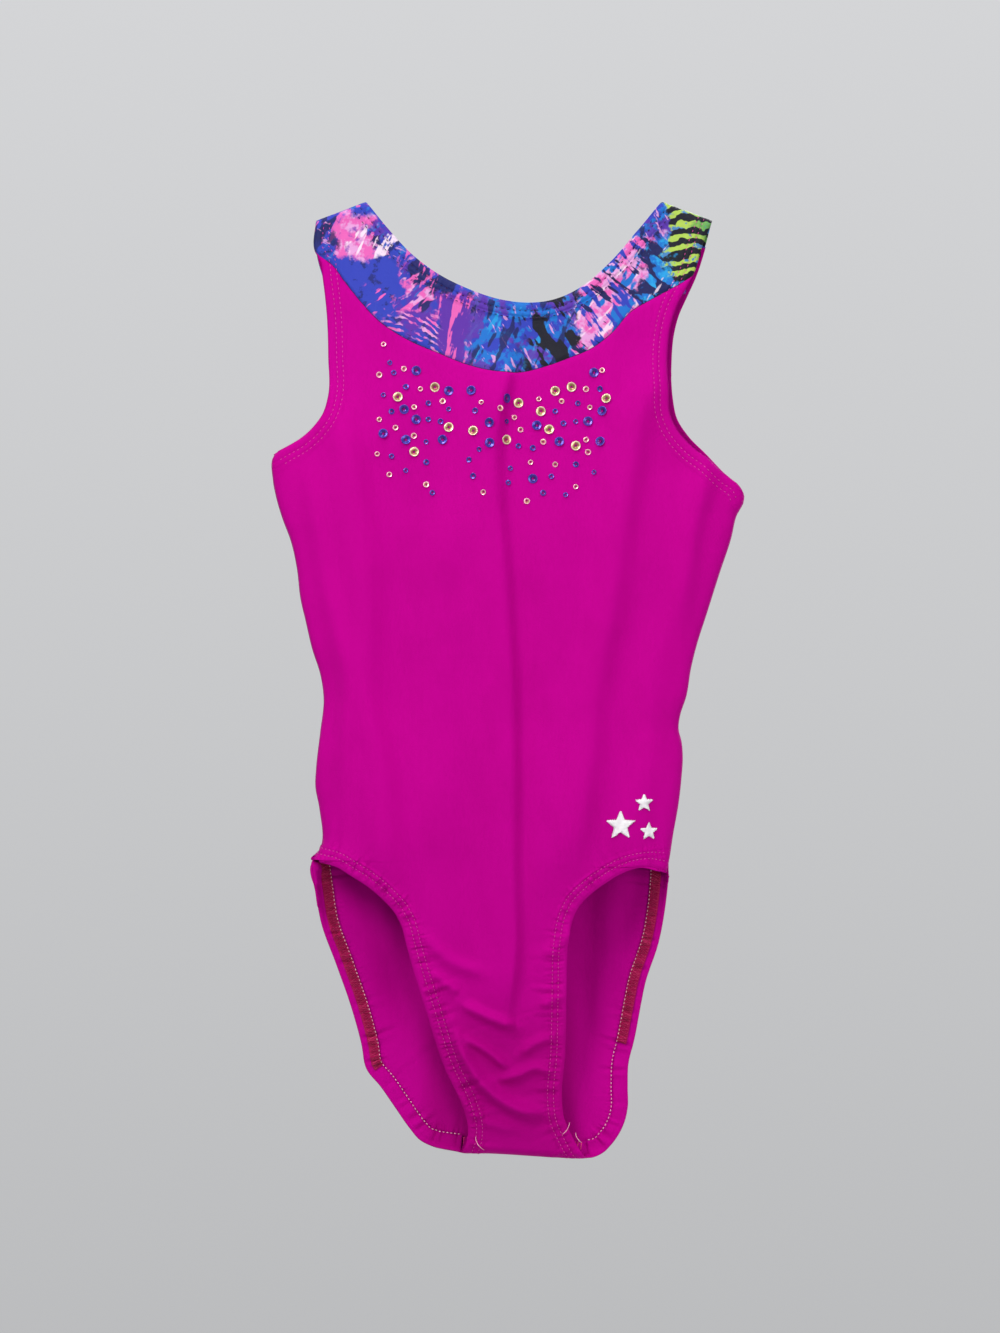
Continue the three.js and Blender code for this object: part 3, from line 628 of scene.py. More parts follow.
# The side of each edge, seen along it, on which the cloth lies.
CLOTH_SIDE = {"neck": -1, "left_arm": 1, "right_arm": -1, "left_leg": 1, "right_leg": -1}


def beside(edge, name, gap):
    """A line at a distance from an edge, inside the cloth."""
    return edge + inward(edge) * CLOTH_SIDE[name] * np.reshape(gap, (-1, 1))


def on_cloth(line, front, lift):
    """A flat line laid on the cloth."""
    return sheet_from(line[..., 0], line[..., 1], front, lift)


def inside_cloth(line, front):
    """The points of a flat line that lie on that side's cloth and not past its straps or crotch."""
    x, z = line[:, 0], line[:, 1]
    left, right = sides(front)
    low_enough = z < strap_top(x) - (0 if front else SHOULDER_SEAM_DROP)
    return (x > left(z) - 0.2) & (x < right(z) + 0.2) & low_enough & (z > crotch(x))


THREAD_RADIUS = 0.18
STITCH_SHARE = 0.5  # of the pitch that shows as thread
STITCH_ARCH = np.array([-0.12, 0.12, 0.2, 0.12, -0.12])  # how far a stitch stands off the cloth


def stitch_row(edge, name, gap, pitch, front, radius=THREAD_RADIUS, below=0.0):
    """A row of stitches at a distance from an edge, on the cloth's outer face or below it."""
    line = beside(edge, name, gap)
    run = run_of(line)
    starts = np.arange(1.0, run[-1] - pitch, pitch)
    lift = STITCH_ARCH * (-1 if below else 1) - below
    parts = []
    for start in starts:
        flat = resampled(line, run, start + pitch * STITCH_SHARE * np.linspace(0, 1, len(lift)))
        if inside_cloth(flat, front).all():
            points = on_cloth(flat, front, 0.0)
            points[:, 1] += -lift if front else lift
            parts.append(tube(points, radius))
    return parts


def zigzag(edge, name, low, high, pitch, front, radius, lift):
    """A thread that goes to and fro between two distances from an edge."""
    count = int(len(edge) * EDGE_STEP / (pitch / 2))
    points = resampled(edge, np.arange(len(edge)), np.linspace(2, len(edge) - 3, count))
    line = beside(points, name, np.where(np.arange(count) % 2 == 0, low, high))
    line = line[inside_cloth(line, front)]
    return [tube(on_cloth(line, front, lift), radius, sides=4)]


def strip(edge, name, near, far, front, depth, columns=7):
    """A flat strip along an edge, inside the cloth, as a grid."""
    kept = edge[::2]
    gaps = np.linspace(near, far, columns)
    grid = np.stack([beside(kept, name, gap) for gap in gaps], axis=1)
    good = np.array([inside_cloth(row, front).all() for row in grid])
    grid = grid[good]
    return on_cloth(grid, front, -depth).reshape(-1, 3), grid_faces(*grid.shape[:2])


# ---- materials
def put(tree, socket, value):
    """Sets a socket to a number, vector or colour, or links it to a socket or a Field."""
    value = getattr(value, "socket", value)
    if isinstance(value, bpy.types.NodeSocket):
        tree.links.new(value, socket)
    else:
        socket.default_value = (*value, 1) if socket.type == "RGBA" and len(value) == 3 else value


def add_node(tree, kind, inputs=(), **settings):
    """A node with its settings, and its inputs by name or place."""
    node = tree.nodes.new(kind)
    for key, value in settings.items():
        setattr(node, key, value)
    for key, value in dict(inputs).items():
        put(tree, node.inputs[key], value)
    return node


class Field:
    """A number inside a node tree, so that a mask can be written as arithmetic."""

    def __init__(self, tree, socket):
        self.tree, self.socket = tree, socket

    def math(self, operation, *others):
        values = enumerate((self,) + others)
        node = add_node(self.tree, "ShaderNodeMath", values, operation=operation)
        return Field(self.tree, node.outputs[0])

    def __add__(self, other):
        return self.math("ADD", other)

    def __sub__(self, other):
        return self.math("SUBTRACT", other)

    def __mul__(self, other):
        return self.math("MULTIPLY", other)

    def sin(self):
        return self.math("SINE")

    def waves(self, period):
        """The sine of the field, which repeats after this many millimetres."""
        return (self * (2 * math.pi / period)).sin()

    def absolute(self):
        return self.math("ABSOLUTE")

    def above(self, low, high):
        """0 below low and 1 above high, with a smooth step between."""
        node = add_node(self.tree, "ShaderNodeMapRange",
                        {"Value": self, "From Min": low, "From Max": high},
                        interpolation_type="SMOOTHSTEP")
        return Field(self.tree, node.outputs["Result"])

    def below(self, low, high):
        return (self.above(low, high) * -1.0) + 1.0


class Finish:
    """A material with its shader and millimetre coordinates."""

    def __init__(self, name, rough, **settings):
        self.material = bpy.data.materials.new(name)
        self.material.use_nodes = True
        self.tree = self.material.node_tree
        self.shader = self.tree.nodes["Principled BSDF"]
        for key, value in {"Roughness": rough, **settings}.items():
            put(self.tree, self.shader.inputs[key.replace("_", " ")], value)
        place = self.add("TexCoord").outputs["Object"]
        self.point = self.add("VectorMath", {0: place, "Scale": 1 / MM}, operation="SCALE").outputs[0]
        split = self.add("SeparateXYZ", {0: self.point})
        self.x, self.y, self.z = [Field(self.tree, split.outputs[k]) for k in range(3)]

    def add(self, kind, inputs=(), **settings):
        return add_node(self.tree, "ShaderNode" + kind, inputs, **settings)

    def stretched(self, wide, tall, turn):
        """Coordinates in cells this many millimetres wide and tall, turned from upright."""
        cell = {0: self.point, "Scale": (wide, wide, tall), "Rotation": (0, turn, 0)}
        return self.add("Mapping", cell, vector_type="TEXTURE").outputs[0]

    def noise(self, size, detail=2.0, at=None, roughness=0.5):
        """Soft noise from 0 to 1 with cells of about this many millimetres."""
        node = self.add("TexNoise", {"Scale": 1.0 / size, "Detail": detail, "Roughness": roughness,
                                     "Vector": at or self.point})
        return Field(self.tree, node.outputs["Fac"])

    def attribute(self, name):
        return Field(self.tree, self.add("Attribute", attribute_name=name).outputs["Fac"])

    def mix(self, base, *layers):
        """The base colour with each (colour, share) laid over it in turn."""
        for top, share in layers:
            base = self.add("Mix", {6: base, 7: top, 0: share}, data_type="RGBA").outputs[2]
        return base

    def finished(self, colour, rough=None, relief=None, height=0.0):
        """Gives the shader its colour, roughness and relief, where a step of 1 is height."""
        found = {"Base Color": colour, "Roughness": rough}
        if relief:
            bump_node = self.add("Bump", {"Distance": height * MM, "Height": relief})
            found["Normal"] = bump_node.outputs[0]
        for key, value in found.items():
            if value is not None:
                put(self.tree, self.shader.inputs[key], value)
        return self.material


WALE = 0.55  # width of one knitted stitch
COURSE = 0.42  # height of one knitted stitch


def knit_relief(finish):
    """The columns and rows of a fine warp knit, broken up a little."""
    drift = finish.noise(6.0) * 1.4
    wales = (finish.x * (2 * math.pi / WALE) + drift).sin()
    courses = (finish.z * (2 * math.pi / COURSE) + drift + wales * 0.9).sin()
    return (wales * 0.5 + courses * 0.5) * 0.5 + finish.noise(0.9, 3.0) * 0.8


def hem_detail(finish):
    """The sunk stitch rows and the tight small ribs that the elastic pulls beside a leg edge."""
    gap, run, gather = [finish.attribute(name) for name in ("gap", "run", "gather")]
    inner, outer = [(gap - row).absolute().below(0.2, 0.9) for row in (INNER_ROW, OUTER_ROW)]
    wander = run + finish.noise(9.0, 1.0) * 4.0
    ribs = wander.waves(2.3) + wander.waves(3.7)
    reach = gap.above(0.6, 3.0) * gap.below(7.0, 12.5) * gather
    uneven = finish.noise(8.0).above(0.30, 0.55)
    return ribs * reach * uneven * 0.42 - (inner + outer) * 0.35


SOFT_SHEEN = dict(Sheen_Weight=0.06, Sheen_Roughness=0.4)
CLOTH_RELIEF = 0.45  # height of a full step of the knit's relief
MAGENTA = (0.43, 0.0, 0.217)
MAGENTA_DEEP = (0.385, 0.0, 0.192)
# Darker over the gusset: partly the lining's extra layer behind the cloth, partly painted shade where the
# crotch falls into shade.
MAGENTA_LINED_AND_SHADED = (0.33, 0.0, 0.158)


def magenta_knit():
    finish = Finish("magenta_knit", 0.62, Sheen_Tint=(1, 0.0, 0.6, 1), Specular_IOR_Level=0.02,
                    **SOFT_SHEEN)
    patches, fine = finish.noise(34.0, 3.0), finish.noise(1.1)
    worn = patches.above(0.42, 0.72) * 0.55 + fine.above(0.5, 0.8) * 0.25
    # Mask of the gusset darkening: partly the lining behind the cloth, partly painted shade at the crotch.
    lined_and_shaded = finish.z.below(-415, -372) * finish.x.above(-50, -38) * finish.x.below(26, 34)
    colour = finish.mix(MAGENTA, (MAGENTA_DEEP, worn), (MAGENTA_LINED_AND_SHADED, lined_and_shaded * 0.8))
    return finish.finished(colour, patches * 0.10 + 0.56,
                           knit_relief(finish) * 0.28 + hem_detail(finish), CLOTH_RELIEF)


ROYAL = (0.020, 0.036, 0.36)
NAVY = (0.006, 0.008, 0.075)
AZURE = (0.004, 0.125, 0.46)
CYAN = (0.01, 0.27, 0.58)
VIOLET = (0.085, 0.018, 0.29)
PINK = (0.62, 0.09, 0.36)
LILAC = (0.60, 0.27, 0.53)
PALE = (0.70, 0.55, 0.66)
INK = (0.004, 0.004, 0.012)
LIME = (0.34, 0.49, 0.07)
GREEN = (0.03, 0.24, 0.07)


def print_knit():
    """An abstract print: broad brush marks in several inks, each field with its own strokes."""
    finish = Finish("printed_knit", 0.52, Specular_IOR_Level=0.2, **SOFT_SHEEN)
    mix, noise = finish.mix, finish.noise
    blot, broad = noise(6.5, 4.0, roughness=0.6), noise(15.0, 4.0, roughness=0.6)
    bend = (noise(4.0, 3.0) - 0.5) * 2.2
    wide_x = finish.x + (noise(9.0, 4.0, roughness=0.65) - 0.5) * 26.0
    wide_z = finish.z + (noise(10.5, 4.0, roughness=0.65) - 0.5) * 24.0

    def span(field, low, high, soft):
        return field.above(low - soft, low + soft) * field.below(high - soft, high + soft)

    def zone(low_x, high_x, low_z, high_z, soft=2.0):
        """A field of the print, in X and Z, with a wandering edge."""
        return span(wide_x, low_x, high_x, soft) * span(wide_z, low_z, high_z, soft)

    def strokes(width, turn, low, high, length=4.0):
        """Bent brush marks, turned from upright, where the noise passes low."""
        flow = finish.stretched(width * 1.15, width * length * 1.15, turn)
        return (noise(1.0, 2.0, flow, 0.45) + bend * 0.10).above(low, high)

    # Centre: azure over violet, crossed by ink strokes that grow stronger to the right.
    centre = mix(AZURE, (ROYAL, blot.above(0.48, 0.56)),
                 (CYAN, strokes(3.4, 0.5, 0.58, 0.64) * 0.8),
                 (VIOLET, broad.above(0.53, 0.57) * 0.85),
                 (LILAC, strokes(2.0, -0.5, 0.63, 0.68) * 0.8),
                 (NAVY, strokes(3.6, 0.35, 0.55, 0.60) * 0.9),
                 (INK, strokes(4.2, -0.55, 0.50, 0.54, 3.0) * zone(4, 36, -90, -38, 5.0)))
    # Right of the middle: pink and lilac fields under slanting blue strokes.
    lilac = mix(PINK, (LILAC, blot.above(0.44, 0.56)), (PALE, strokes(3.4, 0.7, 0.58, 0.64) * 0.8),
                (AZURE, strokes(4.6, 0.5, 0.53, 0.58, 2.5)), (ROYAL, strokes(3.2, -0.65, 0.52, 0.57, 5.0)),
                (NAVY, strokes(2.4, -0.9, 0.58, 0.63, 5.0)))
    # Beside the right strap: azure and cyan with dark slanting marks.
    bright = mix(AZURE, (CYAN, blot.above(0.46, 0.58)), (NAVY, strokes(4.0, -0.8, 0.51, 0.55, 3.0)),
                 (PALE, strokes(2.2, 0.6, 0.64, 0.69) * 0.7))
    # Right strap: lime with dark, curved bars, ending in green.
    from_strap = finish.x - 84.0
    curve = (finish.z + from_strap * from_strap * 0.018 - finish.x * 0.08 + (noise(7.0) - 0.5) * 8.0)
    lime = mix(LIME, (GREEN, wide_x.above(89, 95) * 0.75), (AZURE, blot.above(0.56, 0.60) * 0.85),
               (INK, curve.waves(5.8).above(-0.2, 0.05)))
    # Left of the middle: indigo, violet and pink smears.
    left = mix(ROYAL, (VIOLET, broad.above(0.50, 0.56) * 0.8), (AZURE, strokes(4.0, 0.8, 0.57, 0.62) * 0.7),
               (NAVY, strokes(6.0, 0.6, 0.53, 0.58, 2.2) * 0.9),
               (PINK, strokes(2.8, 0.35, 0.58, 0.62, 4.0) * 0.85))
    # Pale stripes that lie almost level, low on the left.
    from_stripes = finish.x + 58.0
    wave = (finish.z + finish.x * 0.28 + from_stripes * from_stripes * 0.012 + (noise(6.0) - 0.5) * 5.5)
    stripes = wave.waves(3.3).above(0.25, 0.6) * noise(5.0).above(0.40, 0.50)
    striped = mix(ROYAL, (VIOLET, broad.above(0.46, 0.56)), (NAVY, blot.above(0.54, 0.60) * 0.7),
                  (mix(PINK, (LILAC, blot.above(0.4, 0.6))), stripes))
    rising = mix(VIOLET, (PINK, strokes(2.4, 0.25, 0.50, 0.55, 6.0)))
    # Pink at the neck side of the left strap, breaking into pale marks below.
    flare = mix(PINK, (LILAC, blot.above(0.48, 0.58)))
    deep = mix(ROYAL, (NAVY, blot.above(0.55, 0.62) * 0.75))
    colour = mix(centre, (lilac, zone(30, 72, -80, -12)), (bright, zone(63, 100, -62, -14)),
                 (lime, zone(76, 112, -34, 20, 1.5)), (left, wide_x.below(-26, -20)),
                 (LILAC, strokes(1.8, -1.1, 0.64, 0.68) * wide_x.below(-60, -50) * 0.7),
                 (striped, zone(-82, -36, -84, -50)), (rising, zone(-38, -22, -86, -40)),
                 (flare, zone(-86, -70, -25, -3) * broad.below(0.54, 0.62)),
                 (PALE, zone(-80, -58, -34, -10) * strokes(3.0, 0.5, 0.55, 0.60)),
                 (flare, zone(-58, -40, -50, -26) * strokes(3.0, 0.9, 0.50, 0.55)),
                 (deep, zone(-112, -56, -53, -24)),
                 (NAVY, zone(-104, -86, -20, -6) * blot.above(0.46, 0.54) * 0.85),
                 (PINK, zone(-72, -58, -50, -36) * strokes(2.0, 1.0, 0.60, 0.64)))
    return finish.finished(colour, blot * 0.14 + 0.45,
                           knit_relief(finish) * 0.26 + hem_detail(finish), CLOTH_RELIEF)


def back_print():
    """The print of the back yoke, mostly indigo and navy."""
    finish = Finish("printed_knit_back", 0.55, Sheen_Weight=0.10, Sheen_Roughness=0.4,
                    Specular_IOR_Level=0.38)
    blot, broad = finish.noise(8.0, 3.0), finish.noise(21.0, 3.0)
    slant = finish.noise(1.0, 2.0, finish.stretched(3.0, 15.0, 0.6))
    upright = finish.noise(1.0, 2.0, finish.stretched(2.4, 12.0, -0.3))
    colour = finish.mix(ROYAL, (AZURE, broad.above(0.50, 0.58)), (VIOLET, blot.above(0.52, 0.62) * 0.9),
                        (NAVY, slant.above(0.50, 0.58)),
                        (PINK, upright.above(0.58, 0.63) * broad.below(0.46, 0.54) * 0.85),
                        (PALE, finish.noise(1.5).above(0.66, 0.72) * 0.5))
    return finish.finished(colour, blot * 0.12 + 0.48,
                           knit_relief(finish) * 0.26 + hem_detail(finish), CLOTH_RELIEF)


def thread_finish(name, colour, dark, rough=0.45):
    """A twisted sewing thread: fine slanting plies, with a little change of shade."""
    finish = Finish(name, rough, Sheen_Weight=0.04, Specular_IOR_Level=0.12)
    plies = (finish.x * 0.8 + finish.z * 0.6 + finish.y * 0.5).waves(0.5)
    shade = finish.noise(2.6).above(0.35, 0.7) * 0.6 + plies.above(0.0, 0.9) * 0.25
    return finish.finished(finish.mix(colour, (dark, shade)), None, plies, 0.06)


def foil_finish(name, colour, second, rim_highlight):
    """A sequin's foil: two tints of metal, finely embossed, with a painted highlight towards its rim."""
    finish = Finish(name, 0.2, Metallic=0.55, Coat_Weight=0.35, Coat_Roughness=0.06)
    tint, ring = finish.noise(2.4).above(0.42, 0.6), finish.attribute("ring").above(0.62, 0.90)
    return finish.finished(finish.mix(colour, (second, tint), (rim_highlight, ring)),
                           finish.noise(0.7) * 0.3 + 0.14, finish.noise(0.5), 0.05)


def lining_finish():
    finish = Finish("gusset_lining", 0.8, Sheen_Weight=0.15)
    patches = finish.noise(14.0, 3.0).above(0.4, 0.7)
    colour = finish.mix((0.52, 0.002, 0.24), ((0.36, 0.001, 0.17), patches))
    return finish.finished(colour, None, knit_relief(finish), 0.12)


def floor_finish():
    finish = Finish("pale_floor", 0.85)
    return finish.finished(finish.mix((0.62, 0.62, 0.63), ((0.58, 0.58, 0.59), finish.noise(240.0, 3.0))))


# ---- the pieces
BODY = magenta_knit()
PRINT = print_knit()
PRINT_BACK = back_print()
LINING = lining_finish()
STITCH = thread_finish("pale_thread", (0.66, 0.07, 0.34), (0.50, 0.02, 0.22))
LOOPER = thread_finish("looper_thread", (0.76, 0.055, 0.20), (0.60, 0.02, 0.13))
BAND = thread_finish("looper_band", (0.40, 0.004, 0.08), (0.31, 0.002, 0.06))
BRIGHT = thread_finish("bright_thread", (0.86, 0.44, 0.56), (0.74, 0.20, 0.34))
DARK = thread_finish("dark_thread", (0.035, 0.006, 0.055), (0.012, 0.003, 0.02))
WHITE = thread_finish("white_thread", (0.90, 0.88, 0.89), (0.74, 0.70, 0.74), 0.35)

CLOTH = 0.55  # thickness of the knit


def piece(name, parts, material, slot_name, nodes=(), smooth=True):
    """A finished piece from (verts, faces) parts; it rides the garment and stands for its nodes."""
    verts, faces = merged(parts)
    obj = make_object(name, verts, faces, material, smooth)
    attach(obj, "root")
    if nodes:
        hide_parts(*nodes)
    return obj


def point_values(obj, name, values):
    obj.data.attributes.new(name, "FLOAT", "POINT").data.foreach_set("value", values.astype(np.float32))


def edge_attributes(obj, verts, front):
    """Each point's distance to its nearest hem edge, its place along it and how gathered it is."""
    x, z = verts[:, 0], verts[:, 2]
    edges = FRONT_EDGES if front else BACK_EDGES
    gap, run, gather = np.full(len(x), FAR), np.zeros(len(x)), np.zeros(len(x))
    for name, edge in edges.items():
        this_gap, this_run = near_edge(edge, x, z)
        closer = this_gap < gap
        gap[closer], run[closer] = this_gap[closer], this_run[closer]
        gather[closer] = GATHERS[name] / GATHERS["left_leg"]
    for label, values in (("gap", gap), ("run", run), ("gather", gather)):
        point_values(obj, label, values)


def thicken(obj, thickness=CLOTH):
    shell = obj.modifiers.new("cloth", "SOLIDIFY")
    shell.thickness = thickness * MM
    shell.offset = -1
    shell.use_even_offset = False
    return obj


def cloth_piece(name, mesh, front, material, slot_name, nodes):
    obj = piece(name, [mesh], material, slot_name, nodes)
    edge_attributes(obj, mesh[0], front)
    return thicken(obj)


front_body = cloth_piece("front_body", body_mesh(True), True, BODY, "body_fabric", ["front_body_panel"])
back_body = cloth_piece("back_body", body_mesh(False), False, BODY, "body_fabric", ["back_body_panel"])
front_yoke = cloth_piece("front_yoke_cloth", yoke_mesh(True), True, PRINT, "print_fabric",
                         ["front_yoke"])
back_yoke = cloth_piece("back_yoke_cloth", yoke_mesh(False), False, PRINT_BACK, "print_fabric",
                        ["back_yoke"])

# Turned hems: the cloth folded in over the elastic, seen on the inside.
HEM_START, HEM_CLOTH = 0.25, 0.5
HEM_DEPTH = CLOTH + 0.45
for name in EDGE_NAMES:
    material, slot_name = (PRINT_BACK, "print_fabric") if name == "neck" else (BODY, "body_fabric")
    parts = [strip(edges[name], name, HEM_START, HEM, front, HEM_DEPTH) for front, edges in FACES]
    thicken(piece(f"{name}_hem", parts, material, slot_name, [f"{name}_elastic"]), HEM_CLOTH)

# Stitches on the outside of each hem.
LEG_PITCH, ARM_PITCH, NECK_PITCH = 1.9, 2.4, 2.9
NECK_THREAD = 0.2


def hem_stitches(name, rows, pitch, material, radius):
    parts = []
    for front, edges in FACES:
        for row in rows:
            parts += stitch_row(edges[name], name, row, pitch, front, radius)
    piece(f"{name}_stitches", parts, material, "seam_thread")


for name in EDGE_NAMES[1:]:
    hem_stitches(name, (INNER_ROW, OUTER_ROW), LEG_PITCH if "leg" in name else ARM_PITCH, STITCH,
                 THREAD_RADIUS)
hem_stitches("neck", (INNER_ROW, HEM), NECK_PITCH, DARK, NECK_THREAD)

# The thread that locks them inside: two zigzags, and on the legs a band with bright stitches.
BAND_START, BAND_END = 3.8, 8.2
LOOPER_END = {"left_leg": -426.0, "right_leg": -412.0}  # on the back; the arms and neck are whole
LOOPER_LIFT = HEM_DEPTH + 1.15
LOOPER_THREAD, BRIGHT_THREAD, BAND_CLOTH = 0.2, 0.24, 0.2
for name in EDGE_NAMES:
    parts, bright, bands = [], [], []
    for front, edges in FACES:
        edge = edges[name]
        if not front:
            edge = edge[edge[:, 1] > LOOPER_END.get(name, -200.0)]
        parts += zigzag(edge, name, BAND_START, BAND_END, 1.5, front, LOOPER_THREAD, -LOOPER_LIFT)
        parts += zigzag(edge[1:], name, BAND_START + 0.5, BAND_END - 0.3, 2.3, front, LOOPER_THREAD,
                        -LOOPER_LIFT - 0.2)
        if "leg" in name:
            bright += stitch_row(edges[name], name, BAND_END, LEG_PITCH, front, BRIGHT_THREAD,
                                 LOOPER_LIFT)
            bands.append(strip(edge, name, BAND_START - 0.4, BAND_END + 0.3, front, HEM_DEPTH + 0.7))
    piece(f"{name}_looper", parts, LOOPER if bright else DARK, "seam_thread")
    if bright:
        thicken(piece(f"{name}_looper_band", bands, BAND, "seam_thread"), BAND_CLOTH)
        piece(f"{name}_inner_stitches", bright, BRIGHT, "seam_thread")

# Seam allowances, overlocked together on the inside.
SEAM_WIDTH = 6.0
SEAM_CLOTH = 0.9
WRAP_PITCH, WRAP_THREAD = 1.7, 0.2


def overlock(name, line, toward, node, material, thread=None):
    """A flat seam allowance along a 3-D line, with the thread that wraps its raw edge."""
    shares = np.linspace(0, 1, 5)
    toward = np.array(toward, float)
    grid = line[:, None] + toward * (shares[:, None] * SEAM_WIDTH)
    grid[..., 1] += 0.25 * np.sin(np.arange(len(line)) * 0.9)[:, None] * shares
    allowance = piece(name, [(grid.reshape(-1, 3), grid_faces(*grid.shape[:2]))], material,
                      "seam_thread", [node])
    thicken(allowance, SEAM_CLOTH).modifiers["cloth"].offset = 0
    run = run_of(line)
    place = resampled(line, run, np.arange(0, run[-1], WRAP_PITCH / 4))
    out = np.cross(np.gradient(place, axis=0), toward)
    out /= np.linalg.norm(out, axis=1, keepdims=True) + 1e-9
    phase = np.arange(len(place)) % 4
    reach = np.choose(phase, [0.45, 1.06, 1.06, 0.45])[:, None] * SEAM_WIDTH
    face = np.choose(phase, [0.7, 0.7, -0.7, -0.7])[:, None]
    wrap = tube(place + toward * reach + out * face, WRAP_THREAD, sides=4)
    piece(name + "_thread", [wrap], thread or DARK, "seam_thread")


SIDE_LOW, SIDE_STEP, SIDE_INSET = -316.0, 1.2, 1.2
for side, x_of, top, inward_x in (("left", left_front, -121.0, 1.0), ("right", right_front, -143.0, -1.0)):
    z = np.arange(top, SIDE_LOW, -SIDE_STEP)
    line = np.stack([x_of(z) + inward_x * SIDE_INSET, 0 * z, z], axis=1)
    overlock(f"{side}_side_allowance", line, (inward_x, 0, 0), f"{side}_side_seam", BODY)
for side, sign in (("left", -1.0), ("right", 1.0)):
    x = sign * np.linspace(68.5, 92.0, 22)
    z = strap_top(x) - SHOULDER_SEAM_DROP
    line = np.stack([x, surface(x, z, False) - 1.4, z], axis=1)
    overlock(f"{side}_shoulder_allowance", line, (0, 0, -1), f"{side}_shoulder_seam", PRINT_BACK)

YOKE_DEPTH, GROOVE_DEPTH, GROOVE_THREAD = 1.5, 0.12, 0.24
for front, label in ((True, "front"), (False, "back")):
    left, right = sides(front)
    shares = np.linspace(0.012, 0.988, 150)
    z = solve_columns(shares, left, right, front_seam if front else back_seam)
    x = left(z) + (right(z) - left(z)) * shares
    y, into = surface(x, z, front), 1 if front else -1
    line = np.stack([x, y + into * YOKE_DEPTH, droop(x, z)], axis=1)
    overlock(f"{label}_yoke_allowance", line, (0, 0, -1), f"{label}_yoke_seam", PRINT_BACK)
    groove = np.stack([x, y + into * GROOVE_DEPTH, z], axis=1)
    piece(f"{label}_yoke_stitching", [tube(groove, GROOVE_THREAD)], DARK, "seam_thread")

x = np.linspace(-25.0, 34.0, 50)
overlock("crotch_allowance", np.stack([x, 0 * x, crotch(x) + 1.6], axis=1), (0, 0, 1), "crotch_seam",
         BODY, LOOPER)

# The gusset lining, inside the front.
LINING_TOP, LINING_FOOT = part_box("crotch_lining")[1].z / MM / fit_z, -458.5
LINING_LIFT, LINING_CLOTH, LINING_MARGIN = CLOTH + 2.3, 0.45, HEM + 0.8
shares = np.linspace(0, 1, 46)
z = np.linspace(LINING_FOOT, LINING_TOP, 60)[:, None] + 0 * shares
x = (left_front(z) + LINING_MARGIN) + (right_front(z) - left_front(z) - 2 * LINING_MARGIN) * shares
z = z + smoothstep(z, LINING_TOP - 30, LINING_TOP) * 6.0 * np.abs(2 * shares - 1) ** 2
x = np.clip(x, left_front(z) + LINING_MARGIN, right_front(z) - LINING_MARGIN)
lining = (sheet_from(x, z, True, -LINING_LIFT).reshape(-1, 3), grid_faces(*x.shape, flip=True))
gusset = thicken(piece("gusset_lining_cloth", [lining], LINING, "lining", ["crotch_lining"]), LINING_CLOTH)

# ---- sequins
SEQUIN_SIDES = 26
LARGE_HOLE, LARGE_CUP, SMALL_HOLE, SMALL_CUP = 0.62, 0.42, 0.5, 0.22


def outward_at(x, z):
    """The direction that the front faces at a place."""
    step = 1.2
    flat = np.array([[x - step, z], [x + step, z], [x, z - step], [x, z + step]])
    y = surface(flat[:, 0], flat[:, 1], True)
    normal = np.array([(y[1] - y[0]) / (2 * step), -1.0, (y[3] - y[2]) / (2 * step)])
    return normal / np.linalg.norm(normal)


def sequin(x, z, radius, hole, cup, seed):
    """A cupped, faceted disc with a hole, lying on the front, and each ring's share of the way out."""
    rng = np.random.default_rng(seed)
    normal = outward_at(x, z) + rng.normal(0, 0.10, 3) * [1, 0, 1]
    normal /= np.linalg.norm(normal)
    across = np.cross([0, 0, 1.0], normal)
    across /= np.linalg.norm(across)
    up = np.cross(normal, across)
    centre = np.array([x, float(surface(np.array([x]), np.array([z]), True)[0]), z]) + normal * 0.3
    turn = np.arange(SEQUIN_SIDES) / SEQUIN_SIDES * 2 * math.pi + rng.uniform(0, 1)
    profile = [(hole, 0.12), (radius * 0.62, 0.16), (radius * 0.9, cup), (radius, cup + 0.05),
               (radius, cup - 0.12), (radius * 0.62, -0.05), (hole, -0.08)]
    rings = [centre + (across * np.cos(turn)[:, None] + up * np.sin(turn)[:, None]) * r + normal * h
             for r, h in profile]
    starts = np.arange(len(profile)) * SEQUIN_SIDES
    faces = [(a + k, a + (k + 1) % SEQUIN_SIDES, b + (k + 1) % SEQUIN_SIDES, b + k)
             for a, b in zip(starts, np.roll(starts, -1)) for k in range(SEQUIN_SIDES)]
    share = np.repeat([r / radius for r, _ in profile], SEQUIN_SIDES)
    return np.concatenate(rings), faces, share


def sequin_piece(name, discs, material, slot_name, nodes=()):
    obj = piece(name, [(verts, faces) for verts, faces, _ in discs], material, slot_name, nodes)
    point_values(obj, "ring", np.concatenate([share for _, _, share in discs]))


def node_middle(node):
    """The middle of a node's box, and half its height and width, in millimetres."""
    low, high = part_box(node)
    middle, half = (low + high) / 2 / MM, (high - low) / 2 / MM
    return middle.x / fit_x, middle.z / fit_z, half.z, half.x


# Each foil's third colour is a painted highlight on the sequin's rim.
GOLD = foil_finish("gold_foil", (0.24, 0.17, 0.05), (0.36, 0.09, 0.09), (0.68, 0.57, 0.36))
BLUE = foil_finish("blue_foil", (0.015, 0.006, 0.20), (0.07, 0.003, 0.17), (0.03, 0.018, 0.32))
ROSE = foil_finish("rose_foil", (0.42, 0.03, 0.14), (0.40, 0.20, 0.10), (0.80, 0.42, 0.50))

seed = 0
for colour, material, slot_name in (("gold", GOLD, "gold_sequin"), ("blue", BLUE, "blue_sequin")):
    nodes = sorted(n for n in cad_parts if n.startswith(f"{colour}_sequin_"))
    discs = []
    for node in nodes:
        seed += 1
        discs.append(sequin(*node_middle(node)[:3], LARGE_HOLE, LARGE_CUP, seed))
    sequin_piece(f"large_{colour}_sequins", discs, material, slot_name, nodes)

